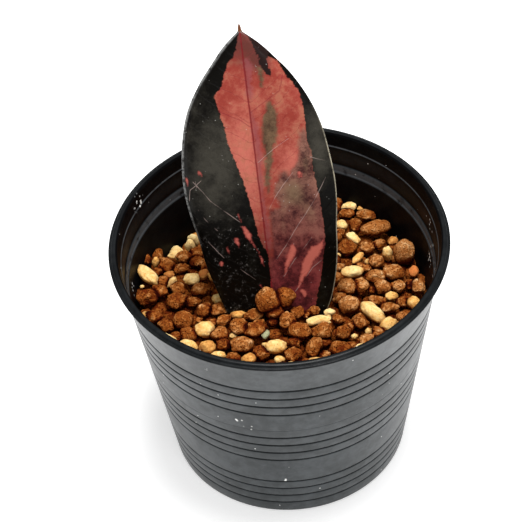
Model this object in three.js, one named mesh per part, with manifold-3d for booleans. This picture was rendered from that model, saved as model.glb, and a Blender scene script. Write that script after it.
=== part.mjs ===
// A single variegated ZZ leaf cutting in a 9 cm black nursery pot of granular potting mix.
// Millimetres, +Z up. The origin is the middle of the pot's base, on the plane that it stands on.

import * as THREE from "three";
import { mergeVertices } from "three/addons/utils/BufferGeometryUtils.js";
import Module from "manifold-3d";

// Pot: driving dimensions.
const POT_HEIGHT = 75;
const RIM_RADIUS = 45;
const BASE_RADIUS = 33;
const WALL_TOP_RADIUS = 43.2;
const WALL = 0.8;
const POT_SIDES = 48;

// Pot: grooves round the wall, in three groups of four at one pitch.
const GROOVE_FIRST = 5.26;
const GROOVE_PITCH = 3.757;
const GROOVE_STEPS = [0, 1, 2, 3, 6, 7, 8, 9, 12, 13, 14, 15];
const GROOVE_HALF_WIDTH = 0.5;
const GROOVE_DEPTH = 0.35;

// Pot: the flared band under the rim, its inner shoulder, and the rolled rim.
const BAND_BOTTOM = 62.3;
const BAND_TOP = 73.2;
const BAND_TOP_RADIUS = 43.9;
const SHOULDER_TOP = 65;
const SHOULDER_STEP = 0.4;
const LIP_HEIGHT = 74.2;
const LIP_ROUNDING = 0.3;
const BEAD_OUTER_RADIUS = 44.1;
const BEAD_INNER_RADIUS = 42.9;
const RIM_INNER_RADIUS = 42.5;

// Pot: foot ring, raised middle of the floor and drain holes.
const FOOT_CHAMFER = 0.8;
const FOOT_INNER_RADIUS = 26;
const FLOOR_RAISE = 2;
const FLOOR_SLOPE = 2;
const FLOOR_THICKNESS = 1;
const CENTRE_HOLE_RADIUS = 6;
const SIDE_HOLE_RADIUS = 3.5;
const SIDE_HOLE_RING = 17;
const SIDE_HOLES = 6;
const HOLE_SIDES = 20;

// Room between pieces that touch on the real thing.
const GAP = 0.3;

// Mix: the surface that the granules lie on. It is lowest at the back left and heaped at the leaf.
const MIX_LEVEL = 55;
const MIX_FALL_BACK = 0.06;
const MIX_FALL_RIGHT = 0.03;
const MIX_DIP = { x: -28, y: 28, depth: 4, spread: 9 };
const MIX_HEAP = { x: -1, y: -13, height: 3, spread: 9 };
const MIX_RINGS = 4;
const MIX_SIDES = 12;

// Leaf: where it comes out of the mix, and how it stands. Stations run up from that line.
const LEAF_FOOT = new THREE.Vector3(-2.3, -8.9, 58.5);
const LEAF_LEAN_BACK = 18;
const LEAF_LEAN_LEFT = 3;
const BLADE_THICKNESS = 1.1;
const EDGE_THICKNESS = 0.7;
const STALK_THICKNESS = 2.8;
const LEAF_COLUMNS = 12;
const LEAF_ROWS = 32;
const LEAF_SLOT_TOP = 13;

// Leaf: [station, left half-width, right half-width], from the buried stalk's end to the tip.
const LEAF_OUTLINE = [
  [-22, 1.3, 1.3],
  [-17, 1.5, 1.5],
  [-13, 3.4, 3.6],
  [-9, 7.2, 8.4],
  [-5, 10.2, 12.4],
  [0, 12.7, 15.1],
  [7, 14.6, 17.1],
  [14, 16.3, 18.2],
  [22, 17.4, 18.8],
  [29, 18.6, 19.5],
  [36, 19.3, 19.6],
  [43, 19.0, 18.9],
  [51, 17.8, 17.6],
  [58, 15.6, 15.3],
  [65, 11.6, 11.5],
  [70, 7.7, 7.7],
  [74, 4.4, 4.3],
  [76.6, 1.7, 1.6],
  [77.6, 0.6, 0.6],
  [78.8, 0.35, 0.35],
];
const LEAF_HALF_WIDTH = 19;
const LEAF_LENGTH = 80;

// Leaf: the fold along the midrib, which is full above a station, the roll of the margins and the bow.
const LEAF_FOLD = 1.8;
const LEAF_FOLD_STATION = 22;
const LEAF_ROLL = 1.2;
const LEAF_ROLL_POWER = 6;
const LEAF_BOW = 2;

// Leaf: the stations over which the buried stalk thins to the blade.
const STALK_END = -18;
const BLADE_START = -4;

// Granules seen in the photo, each read off it as a row: where it shows on the mix's surface in x and
// y, its half-length and half-width, how far it stands up, the turn of its length in degrees and, where
// it is tall, its half-height.
// Fired-clay granules.
const CLAY_GRANULES = [
  [-37, 15.5, 1.8, 1.6, 0, 0],
  [-31.3, 12.5, 2.2, 2.1, 0, 0],
  [-27, 11, 2.1, 1.5, 0, 0],
  [-26, 16.5, 2.3, 2.1, 0.8, 0],
  [-23.3, 18, 2.2, 1.9, 1.4, 60],
  [-22.8, 13.5, 2.0, 1.8, 0.4, 0],
  [-36.3, -0.4, 2.8, 2.4, 0.2, 0],
  [-33, 1.5, 2.2, 2.0, 0.2, 0],
  [-32, 5.2, 2.0, 1.8, 0, 0],
  [-28, 2.4, 2.6, 1.8, 0.2, -50],
  [-22, 1.8, 2.8, 1.8, 0.3, 10],
  [-28.6, -2.6, 2.9, 2.5, 0.2, 0],
  [-24, -3, 2.2, 1.6, 0, 0],
  [-21, -6.5, 2.2, 2.0, 0.2, 0],
  [-17, -7, 2.2, 2.0, 0.2, 0],
  [-26.7, -10, 2.8, 2.7, 0.4, 0],
  [-34.3, -8, 2.6, 1.9, 0, -30],
  [-31.3, -11.6, 2.4, 1.8, 0, -45],
  [-15.5, -11, 2.1, 1.5, 0.4, 30],
  [-17, -16.5, 2.5, 2.3, 0.2, 0],
  [-16, -20.5, 2.0, 1.9, 0, 0],
  [-13.5, -26, 2.3, 2.0, 0, 0],
  [-4.6, -8.4, 2.9, 2.7, 2.4, 0, 2.6],
  [0.4, -6.6, 2.8, 2.5, 3.8, 0, 2.6],
  [-2.2, -10.8, 2.6, 2.4, 1.2, 0, 2.4],
  [-7.6, -11.4, 2.8, 1.7, 0.2, 0],
  [-11.6, -14.8, 2.9, 2.6, 0.4, 0],
  [-7.4, -16.2, 3.1, 2.4, 0.4, 25],
  [-11.4, -20.8, 3.1, 2.5, 0.4, 0],
  [1, -14.6, 2.5, 2.3, 0.8, 0],
  [4, -17.6, 2.9, 2.6, 0.8, 0],
  [3.6, -11.2, 1.9, 1.8, 0.4, 0],
  [8, -10, 1.6, 1.4, 0.3, 0],
  [10, -17.4, 2.9, 2.5, 0.4, 0],
  [7.5, -23.2, 2.9, 2.3, 0.8, 70],
  [-6.3, -24.2, 2.1, 2.0, 0.2, 0],
  [2, -25.6, 2.3, 2.1, 0.2, 0],
  [14, -23.6, 2.6, 2.0, 0, 0],
  [14.4, -13, 1.7, 1.5, 0, 0],
  [15.2, -17.6, 2.1, 1.9, 0.2, 0],
  [25, 29, 2.9, 1.9, 0, 0],
  [19.6, 30, 2.2, 1.6, -0.4, 0],
  [21.5, 25, 1.9, 1.8, 0, 0],
  [27, 23.6, 4.4, 2.3, 0.6, 8],
  [24.3, 15.6, 1.9, 1.8, 0, 0],
  [27.6, 16.6, 2.0, 1.5, 0, 0],
  [18.6, 15.6, 2.9, 2.6, 0.2, 0],
  [26.2, 9.8, 2.2, 2.0, 0.3, 0],
  [34, 12.6, 3.6, 3.3, 1.0, 80, 3.6],
  [25.2, 4, 2.9, 1.8, 0, 0],
  [30.6, 5, 3.0, 2.1, 0.2, 0],
  [27, -0.3, 2.3, 2.2, 0.6, 0],
  [31.3, -0.6, 2.1, 2.0, 0.2, 0],
  [17.6, 0, 2.7, 2.5, 0.6, 0],
  [21.2, 0, 2.4, 2.2, 0.5, 90],
  [17.5, -7.2, 2.9, 2.5, 0.8, 0],
  [25.2, -5.6, 2.5, 1.5, 0, -20],
  [28, -8.6, 2.3, 1.8, 0, 0],
  [20.2, -13.4, 2.4, 2.0, 0.6, 80],
  [36.6, -0.6, 2.3, 1.9, 0.6, 80],
  [21.3, -20.4, 2.4, 1.7, 0, 15],
  [24.4, -18, 2.0, 1.8, 0, 0],
  [31.8, -12.5, 2.0, 1.8, -0.4, 0],
];

// Pale pumice granules, with the few orange ones among them.
const PUMICE_GRANULES = [
  [-36.4, 8.4, 4.2, 2.0, 0.6, -55],
  [-34, 14, 1.1, 1.0, 0.8, 0, 2.2],
  [-29, 18.5, 1.9, 1.3, 0.4, 20],
  [-24.6, 22, 1.5, 1.3, 1.6, 0, 2.6],
  [-30.3, 8, 1.4, 1.3, 0.4, 0],
  [-29.5, 4.8, 2.0, 1.1, 0.6, 70],
  [-24.3, 6, 2.2, 1.8, 0.8, 0],
  [-21, 7.6, 1.8, 1.4, 0.6, 60],
  [-18.6, 6.5, 2.0, 1.1, 0.6, -55],
  [-17.2, -2.8, 2.2, 1.4, 0.6, -50],
  [-36.4, -7.6, 1.5, 1.3, 0, 0],
  [-20.8, -14, 2.7, 2.3, 0.8, 0],
  [-25.3, -19.4, 2.6, 1.6, 0.6, -25],
  [-20.3, -20.5, 2.1, 2.0, 0.6, 0],
  [-17.5, -24, 2.3, 1.4, 0.2, 0],
  [-12, -10, 2.2, 1.1, 0, 0],
  [-9.5, -25.8, 1.8, 1.5, 0.6, 0],
  [-2.6, -22.8, 2.9, 2.0, 0.8, 8],
  [-1.8, -27, 1.5, 1.3, 0.4, 0],
  [-4.9, -18.6, 1.7, 1.1, 0.6, 70],
  [9, -14, 3.3, 1.5, 0.8, 8],
  [12.2, -10.4, 1.6, 1.1, 0.6, 0],
  [13.5, -27, 2.3, 1.1, 0.2, 12],
  [20.5, 33, 2.2, 1.5, 0.2, 15],
  [24, 32, 1.3, 1.2, 0, 0],
  [17.9, 25.4, 1.8, 1.5, 0.4, -40],
  [20.6, 19.6, 2.3, 1.4, 0.6, -45],
  [21.2, 11.3, 2.4, 1.0, 0.6, 50],
  [29.5, 12.4, 1.4, 1.4, 0.8, 0, 2.4],
  [19.4, 6, 3.1, 1.9, 0.8, 0],
  [31.4, 17.6, 1.5, 1.4, 0.4, 0],
  [36, 5.2, 1.8, 1.4, 0.8, 90],
  [29.3, -4.2, 1.8, 1.2, 0.6, 0],
  [34.8, -6.8, 1.8, 1.7, 0.4, 0],
  [23.5, -10, 4.5, 2.1, 0.9, -52],
  [27.4, -14.8, 2.4, 1.9, 0.6, 30],
  [22.3, -17.2, 1.2, 1.1, 0.3, 0],
];

// Granules that fill what the photo hides: tries on a sunflower spiral, kept where there is room.
const FILL_TRIES = 900;
const FILL_REACH = 39;
const FILL_SMALLEST = 2.3;
const FILL_LARGEST = 3.1;
const FILL_CLEAR = 0.9;
const FILL_RISE = -0.6;
const FILL_LONG = 1.1;
const FILL_WIDE = 0.95;

// How every granule sits and how uneven it is. The photo's line of sight falls 1 mm in 0.92 mm.
const SEED = 20117;
const SIGHT_SLOPE = 0.92;
const GRANULE_LIFT = 0.3;
const GRANULE_SWELL = 1.2;
const GRANULE_FLATNESS = 0.85;
const GRANULE_JITTER = 0.12;

const wasm = await Module();
wasm.setup();

// A closed geometry as an exact solid.
function solidOf(geometry) {
  const bare = geometry.clone();
  bare.deleteAttribute("normal");
  bare.deleteAttribute("uv");
  const merged = mergeVertices(bare, 1e-4);
  return new wasm.Manifold(new wasm.Mesh({
    numProp: 3,
    vertProperties: Float32Array.from(merged.attributes.position.array),
    triVerts: Uint32Array.from(merged.index.array),
  }));
}

// An exact solid as a geometry.
function geometryOf(solid) {
  const mesh = solid.getMesh();
  const geometry = new THREE.BufferGeometry();
  geometry.setAttribute("position", new THREE.BufferAttribute(mesh.vertProperties.slice(), 3));
  geometry.setIndex(new THREE.BufferAttribute(mesh.triVerts.slice(), 1));
  geometry.computeVertexNormals();
  return geometry;
}

// A round body about the Z axis from a profile of [radius, height] points.
function turned(profile, sides) {
  const points = profile.map(([radius, height]) => new THREE.Vector2(radius, height));
  const geometry = new THREE.LatheGeometry(points, sides);
  geometry.rotateX(Math.PI / 2);
  return geometry;
}

// Draws the same numbers from 0 to 1 each time, by the minimal standard generator.
function makeDraw(seed) {
  let state = seed;
  return () => {
    state = (state * 16807) % 2147483647;
    return state / 2147483647;
  };
}

const wallRadius = (z) => BASE_RADIUS + (WALL_TOP_RADIUS - BASE_RADIUS) * z / POT_HEIGHT;

// The pot's inner wall, from the floor to the rim, as [radius, height] points.
function innerWall() {
  return [
    [wallRadius(FLOOR_THICKNESS) - WALL, FLOOR_THICKNESS],
    [wallRadius(BAND_BOTTOM) - WALL, BAND_BOTTOM],
    [wallRadius(SHOULDER_TOP) - WALL + SHOULDER_STEP, SHOULDER_TOP],
    [RIM_INNER_RADIUS, LIP_HEIGHT],
  ];
}

// One V-groove of the outer wall, from its lower edge to its upper one.
function groove(z) {
  return [
    [wallRadius(z - GROOVE_HALF_WIDTH), z - GROOVE_HALF_WIDTH],
    [wallRadius(z) - GROOVE_DEPTH, z],
    [wallRadius(z + GROOVE_HALF_WIDTH), z + GROOVE_HALF_WIDTH],
  ];
}

function makePot() {
  const grooves = GROOVE_STEPS.flatMap((step) => groove(GROOVE_FIRST + GROOVE_PITCH * step));
  const profile = [
    [0, FLOOR_RAISE],
    [FOOT_INNER_RADIUS - FLOOR_SLOPE, FLOOR_RAISE],
    [FOOT_INNER_RADIUS, 0],
    [BASE_RADIUS - FOOT_CHAMFER, 0],
    [wallRadius(FOOT_CHAMFER), FOOT_CHAMFER],
    ...grooves,
    [BAND_TOP_RADIUS, BAND_TOP],
    [RIM_RADIUS - LIP_ROUNDING, BAND_TOP + LIP_ROUNDING],
    [RIM_RADIUS, LIP_HEIGHT],
    [BEAD_OUTER_RADIUS, POT_HEIGHT],
    [BEAD_INNER_RADIUS, POT_HEIGHT],
    ...innerWall().reverse(),
    [FOOT_INNER_RADIUS, FLOOR_THICKNESS],
    [FOOT_INNER_RADIUS - FLOOR_SLOPE, FLOOR_RAISE + FLOOR_THICKNESS],
    [0, FLOOR_RAISE + FLOOR_THICKNESS],
  ];
  let pot = solidOf(turned(profile, POT_SIDES));
  const drill = (radius, x, y) => {
    const tool = new THREE.CylinderGeometry(radius, radius, 4 * FLOOR_RAISE, HOLE_SIDES);
    tool.rotateX(Math.PI / 2);
    tool.translate(x, y, FLOOR_RAISE);
    pot = pot.subtract(solidOf(tool));
  };
  drill(CENTRE_HOLE_RADIUS, 0, 0);
  for (let i = 0; i < SIDE_HOLES; i += 1) {
    const angle = 2 * Math.PI * i / SIDE_HOLES;
    drill(SIDE_HOLE_RADIUS, SIDE_HOLE_RING * Math.cos(angle), SIDE_HOLE_RING * Math.sin(angle));
  }
  return geometryOf(pot);
}

// The height of the mix at a point in plan.
function mixHeight(x, y) {
  const bell = (at) => Math.exp(-((x - at.x) ** 2 + (y - at.y) ** 2) / (2 * at.spread ** 2));
  const plane = MIX_LEVEL - MIX_FALL_BACK * y - MIX_FALL_RIGHT * x;
  return plane - MIX_DIP.depth * bell(MIX_DIP) + MIX_HEAP.height * bell(MIX_HEAP);
}

// The room inside the pot, kept clear of its wall and floor, up to a height.
function insideOfPot(top) {
  const floor = FLOOR_THICKNESS + GAP;
  const wall = innerWall().map(([radius, z]) => [radius - GAP, Math.max(z, floor)]);
  const profile = [
    [0, FLOOR_RAISE + floor],
    [FOOT_INNER_RADIUS - FLOOR_SLOPE, FLOOR_RAISE + floor],
    [FOOT_INNER_RADIUS, floor],
    ...wall.filter(([, z]) => z < top),
    [wallRadius(top) - WALL - GAP, top],
    [0, top],
  ];
  return solidOf(turned(profile, POT_SIDES));
}

// The body of mix under the granules: a round block whose top follows the mix's surface.
function mixBody() {
  const profile = [[0, FLOOR_THICKNESS], [RIM_RADIUS, FLOOR_THICKNESS]];
  for (let ring = MIX_RINGS; ring >= 0; ring -= 1) {
    profile.push([RIM_RADIUS * ring / MIX_RINGS, MIX_LEVEL]);
  }
  const block = turned(profile, MIX_SIDES);
  const place = block.attributes.position;
  for (let i = 0; i < place.count; i += 1) {
    if (place.getZ(i) > MIX_LEVEL / 2) {
      place.setZ(i, mixHeight(place.getX(i), place.getY(i)));
    }
  }
  return solidOf(block);
}

// Where a granule read off the photo lies. The photo looks down on it, so it is nearer than the spot
// that it shows on by its height over the mix.
function seated([x, y, long, wide, rise, turn, tall = GRANULE_FLATNESS * wide]) {
  const lift = GRANULE_LIFT * wide + rise;
  return { x, y: y - SIGHT_SLOPE * lift, z: mixHeight(x, y) + lift, long, wide, tall, turn };
}

// One granule: an uneven lump of twenty sides.
function granule({ x, y, z, long, wide, tall, turn }, draw) {
  const lump = new THREE.IcosahedronGeometry(1);
  lump.deleteAttribute("normal");
  lump.deleteAttribute("uv");
  const shape = mergeVertices(lump, 1e-4);
  const spin = new THREE.Euler(Math.PI * draw(), Math.PI * draw(), Math.PI * draw());
  shape.applyMatrix4(new THREE.Matrix4().makeRotationFromEuler(spin));
  const place = shape.attributes.position;
  for (let i = 0; i < place.count; i += 1) {
    const swell = GRANULE_SWELL + GRANULE_JITTER * (2 * draw() - 1);
    place.setXYZ(i, place.getX(i) * swell, place.getY(i) * swell, place.getZ(i) * swell);
  }
  shape.scale(long, wide, tall);
  shape.rotateZ(THREE.MathUtils.degToRad(turn));
  shape.translate(x, y, z);
  return solidOf(shape);
}

// The granules that the photo hides, placed where those seen leave room.
function hiddenGranules(seen, draw) {
  const placed = seen.map(({ x, y, long, wide }) => [x, y, Math.sqrt(long * wide)]);
  const added = [];
  for (let i = 0; i < FILL_TRIES; i += 1) {
    const size = FILL_SMALLEST + (FILL_LARGEST - FILL_SMALLEST) * draw() ** 2;
    const radius = FILL_REACH * Math.sqrt((i + 0.5) / FILL_TRIES);
    const angle = i * Math.PI * (3 - Math.sqrt(5));
    const x = radius * Math.cos(angle);
    const y = radius * Math.sin(angle);
    if (placed.every(([u, v, other]) => Math.hypot(x - u, y - v) > FILL_CLEAR * (size + other))) {
      placed.push([x, y, size]);
      const z = mixHeight(x, y) + GRANULE_LIFT * size + FILL_RISE;
      const [long, wide, tall] = [FILL_LONG * size, FILL_WIDE * size, GRANULE_FLATNESS * size];
      added.push({ x, y, z, long, wide, tall, turn: 360 * draw() });
    }
  }
  return added;
}

// A value read from the leaf's outline at a station, along a smooth curve through its rows.
function outlineAt(station, column) {
  const last = LEAF_OUTLINE.length - 1;
  let i = 0;
  while (i < last - 1 && LEAF_OUTLINE[i + 1][0] < station) {
    i += 1;
  }
  const slope = (k) => {
    const low = Math.max(k - 1, 0);
    const high = Math.min(k + 1, last);
    const rise = LEAF_OUTLINE[high][column] - LEAF_OUTLINE[low][column];
    return rise / (LEAF_OUTLINE[high][0] - LEAF_OUTLINE[low][0]);
  };
  const [from, to] = [LEAF_OUTLINE[i], LEAF_OUTLINE[i + 1]];
  const run = to[0] - from[0];
  const t = THREE.MathUtils.clamp((station - from[0]) / run, 0, 1);
  const ease = t * t * (3 - 2 * t);
  const start = t * (1 - t) ** 2 * run * slope(i);
  const end = t * t * (t - 1) * run * slope(i + 1);
  return from[column] + (to[column] - from[column]) * ease + start + end;
}

// The leaf's axes where it stands: across, along and out of its face.
const leanBack = THREE.MathUtils.degToRad(LEAF_LEAN_BACK);
const leanLeft = THREE.MathUtils.degToRad(LEAF_LEAN_LEFT);
const flatUp = new THREE.Vector3(0, Math.sin(leanBack), Math.cos(leanBack));
const leafFace = new THREE.Vector3(0, -Math.cos(leanBack), Math.sin(leanBack));
const leafAlong = flatUp.clone().applyAxisAngle(leafFace, leanLeft);
const leafAcross = new THREE.Vector3(1, 0, 0).applyAxisAngle(leafFace, leanLeft);

// A point of the leaf: across from -1 to 1, a station, and the face (1 front, -1 back).
// The blade is folded a little along its midrib, its margins roll back, and it bows back to the tip.
function leafPoint(across, station, face, grow) {
  const side = across < 0 ? 1 : 2;
  const half = outlineAt(station, side) + grow;
  const above = THREE.MathUtils.smoothstep(station, 0, LEAF_FOLD_STATION);
  const fold = LEAF_FOLD * above * Math.abs(across) * Math.min(half / LEAF_HALF_WIDTH, 1);
  const roll = LEAF_ROLL * above * Math.abs(across) ** LEAF_ROLL_POWER;
  const bow = -LEAF_BOW * (Math.max(station, 0) / LEAF_LENGTH) ** 2;
  const stalk = 1 - THREE.MathUtils.smoothstep(station, STALK_END, BLADE_START);
  const middle = THREE.MathUtils.lerp(BLADE_THICKNESS, STALK_THICKNESS, stalk);
  const round = Math.sqrt(Math.max(1 - across * across, 0));
  const thick = EDGE_THICKNESS + (middle - EDGE_THICKNESS) * round + 2 * grow;
  const out = fold - roll + bow + 0.5 * thick * face;
  return LEAF_FOOT.clone()
    .addScaledVector(leafAcross, across * half)
    .addScaledVector(leafAlong, station)
    .addScaledVector(leafFace, out);
}

// The stations of the leaf's rows, closer together towards the tip.
function leafStations() {
  const [bottom, top] = [LEAF_OUTLINE[0][0], LEAF_OUTLINE.at(-1)[0]];
  const stations = [];
  for (let row = 0; row <= LEAF_ROWS; row += 1) {
    const t = row / LEAF_ROWS;
    stations.push(bottom + (top - bottom) * 0.5 * (t + Math.sin(Math.PI * t / 2)));
  }
  return stations;
}

// The leaf over a run of stations as a closed sheet with like triangles on both faces.
function leafSheet(stations, grow) {
  const rows = stations.length - 1;
  const points = [];
  for (const face of [1, -1]) {
    for (const station of stations) {
      for (let column = 0; column <= LEAF_COLUMNS; column += 1) {
        const across = 2 * column / LEAF_COLUMNS - 1;
        points.push(...leafPoint(across, station, face, grow).toArray());
      }
    }
  }
  const width = LEAF_COLUMNS + 1;
  const back = width * (rows + 1);
  const faces = [];
  for (let row = 0; row < rows; row += 1) {
    for (let column = 0; column < LEAF_COLUMNS; column += 1) {
      const a = row * width + column;
      const [b, c, d] = [a + 1, a + width + 1, a + width];
      faces.push(a, b, c, a, c, d);
      faces.push(back + a, back + c, back + b, back + a, back + d, back + c);
    }
  }
  const wall = (a, b) => faces.push(a, a + back, b + back, a, b + back, b);
  for (let column = 0; column < LEAF_COLUMNS; column += 1) {
    wall(column, column + 1);
    wall(rows * width + column + 1, rows * width + column);
  }
  for (let row = 0; row < rows; row += 1) {
    wall((row + 1) * width, row * width);
    wall(row * width + LEAF_COLUMNS, (row + 1) * width + LEAF_COLUMNS);
  }
  const sheet = new THREE.BufferGeometry();
  sheet.setAttribute("position", new THREE.Float32BufferAttribute(points, 3));
  sheet.setIndex(faces);
  return sheet;
}

function makeLeaf() {
  return geometryOf(solidOf(leafSheet(leafStations(), 0)));
}

// The slot that the leaf stands in: its own shape, larger all round by the gap.
function leafSlot() {
  const stations = leafStations().filter((station) => station < LEAF_SLOT_TOP);
  stations[0] -= GAP;
  return solidOf(leafSheet(stations, GAP));
}

function makeMix() {
  const draw = makeDraw(SEED);
  const seen = [...CLAY_GRANULES, ...PUMICE_GRANULES].map(seated);
  const granules = [...seen, ...hiddenGranules(seen, draw)].map((place) => granule(place, draw));
  const heap = wasm.Manifold.union([mixBody(), ...granules]);
  const mix = heap.intersect(insideOfPot(BAND_TOP)).subtract(leafSlot());
  const body = mix.decompose().sort((a, b) => b.volume() - a.volume())[0];
  return geometryOf(body);
}

const POT_PLASTIC = { color: 0x2b2d2f, roughness: 0.45, metalness: 0 };
const CLAY = { color: 0x7a4a2b, roughness: 0.95, metalness: 0 };
const LEAF_SKIN = { color: 0x7a3a3c, roughness: 0.3, metalness: 0 };

function part(name, geometry, look) {
  const mesh = new THREE.Mesh(geometry, new THREE.MeshStandardMaterial(look));
  mesh.name = name;
  return mesh;
}

const plant = new THREE.Group();
plant.name = "potted_zz_leaf";
plant.add(part("pot", makePot(), POT_PLASTIC));
plant.add(part("soil_mix", makeMix(), CLAY));
plant.add(part("leaf", makeLeaf(), LEAF_SKIN));

export default plant;
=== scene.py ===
import bmesh
import bpy
import numpy as np
from mathutils import Matrix, Vector


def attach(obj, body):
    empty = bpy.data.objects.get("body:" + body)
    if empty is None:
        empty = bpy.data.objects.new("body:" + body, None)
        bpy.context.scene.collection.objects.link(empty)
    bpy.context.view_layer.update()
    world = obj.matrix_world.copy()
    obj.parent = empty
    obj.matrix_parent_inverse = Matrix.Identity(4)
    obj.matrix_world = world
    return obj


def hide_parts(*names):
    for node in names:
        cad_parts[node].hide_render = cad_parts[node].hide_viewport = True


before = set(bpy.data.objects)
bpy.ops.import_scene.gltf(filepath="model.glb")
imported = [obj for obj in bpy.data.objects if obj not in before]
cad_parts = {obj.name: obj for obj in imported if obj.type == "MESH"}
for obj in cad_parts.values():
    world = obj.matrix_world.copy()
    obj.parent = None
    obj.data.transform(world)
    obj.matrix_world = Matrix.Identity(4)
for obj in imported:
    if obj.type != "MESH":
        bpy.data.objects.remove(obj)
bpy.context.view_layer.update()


# The camera. It stands in front of the pot with a long lens, looks down on it, and is tipped a little to
# one side, as the rim, the grooves and the foot show it.
CAMERA_PLACE = (0.0, -0.35944, 0.44040)
CAMERA_PAN, CAMERA_TILT, CAMERA_ROLL = np.radians([-0.8037, 46.1008, -4.20755])
CAMERA_LENS = 134.72

level = np.cos(CAMERA_TILT)
ahead = np.array([np.sin(CAMERA_PAN) * level, np.cos(CAMERA_PAN) * level, -np.sin(CAMERA_TILT)])
flat_right = np.array([np.cos(CAMERA_PAN), -np.sin(CAMERA_PAN), 0.0])
flat_up = np.cross(flat_right, ahead)
camera_right = np.cos(CAMERA_ROLL) * flat_right + np.sin(CAMERA_ROLL) * flat_up
camera_up = np.cos(CAMERA_ROLL) * flat_up - np.sin(CAMERA_ROLL) * flat_right

camera_data = bpy.data.cameras.new("camera")
camera_data.lens = CAMERA_LENS
camera_data.sensor_width = 36.0
camera = bpy.data.objects.new("camera", camera_data)
bpy.context.scene.collection.objects.link(camera)
camera_axes = Matrix(np.stack([camera_right, camera_up, -ahead], axis=1).tolist())
camera.matrix_world = Matrix.Translation(CAMERA_PLACE) @ camera_axes.to_4x4()
bpy.context.scene.camera = camera
bpy.context.scene.view_settings.view_transform = "Standard"


# The floor, a plain pale sheet under the pot that glows as painted light, brightest near the pot, and the
# soft
# studio light: a white room, a wide lamp overhead and a weaker one in front. None of it belongs to the
# object.
FLOOR_RADIUS = 2500.0
FLOOR_RINGS = 24
FLOOR_SIDES = 96
FLOOR_BELOW = 0.05
ROOM_LIGHT = 0.4
LAMPS = {
    "lamp_overhead": ((50, 10, 860), (0, 0, 60), 360, 8.0),
    "lamp_front": ((350, -900, 650), (0, 0, 60), 600, 2.8),
}


def rgb(red, green, blue):
    """A colour given as display values from 0 to 255, as linear light with full opacity."""
    shown = np.array([red, green, blue]) / 255
    return (*np.where(shown > 0.04045, ((shown + 0.055) / 1.055) ** 2.4, shown / 12.92).tolist(), 1.0)


def grid_faces(rows, columns):
    """Quads of a grid of points numbered row by row, where each row is a closed ring."""
    row, column = np.arange(rows - 1)[:, None], np.arange(columns)[None, :]
    below, beside = row + 1, (column + 1) % columns
    corners = [a * columns + b for a, b in ((row, column), (row, beside), (below, beside), (below, column))]
    return np.stack(corners, axis=-1).reshape(-1, 4)


def make_piece(name, patches, fields=None, sharp=50.0):
    """An object from patches of points in millimetres and their quads. Its doubles are merged, its faces
    turned outwards, and its edges past an angle in degrees kept sharp. Fields are numbers at each point."""
    starts = np.cumsum([0] + [len(points) for points, _ in patches])
    points = np.concatenate([points for points, _ in patches])
    quads = np.concatenate([faces + start for (_, faces), start in zip(patches, starts)])
    mesh = bpy.data.meshes.new(name)
    mesh.vertices.add(len(points))
    mesh.vertices.foreach_set("co", (points * 0.001).ravel())
    mesh.loops.add(quads.size)
    mesh.loops.foreach_set("vertex_index", quads.ravel())
    mesh.polygons.add(len(quads))
    mesh.polygons.foreach_set("loop_start", np.arange(0, quads.size, 4))
    mesh.update(calc_edges=True)
    for field, values in (fields or {}).items():
        layer = mesh.attributes.new(field, "FLOAT", "POINT")
        layer.data.foreach_set("value", np.asarray(values, np.float32).ravel())
    shape = bmesh.new()
    shape.from_mesh(mesh)
    bmesh.ops.remove_doubles(shape, verts=shape.verts, dist=1e-6)
    bmesh.ops.dissolve_degenerate(shape, edges=shape.edges, dist=1e-7)
    bmesh.ops.recalc_face_normals(shape, faces=shape.faces)
    shape.to_mesh(mesh)
    shape.free()
    mesh.shade_smooth()
    mesh.set_sharp_from_angle(angle=np.radians(sharp))
    piece = bpy.data.objects.new(name, mesh)
    bpy.context.scene.collection.objects.link(piece)
    return piece


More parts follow.
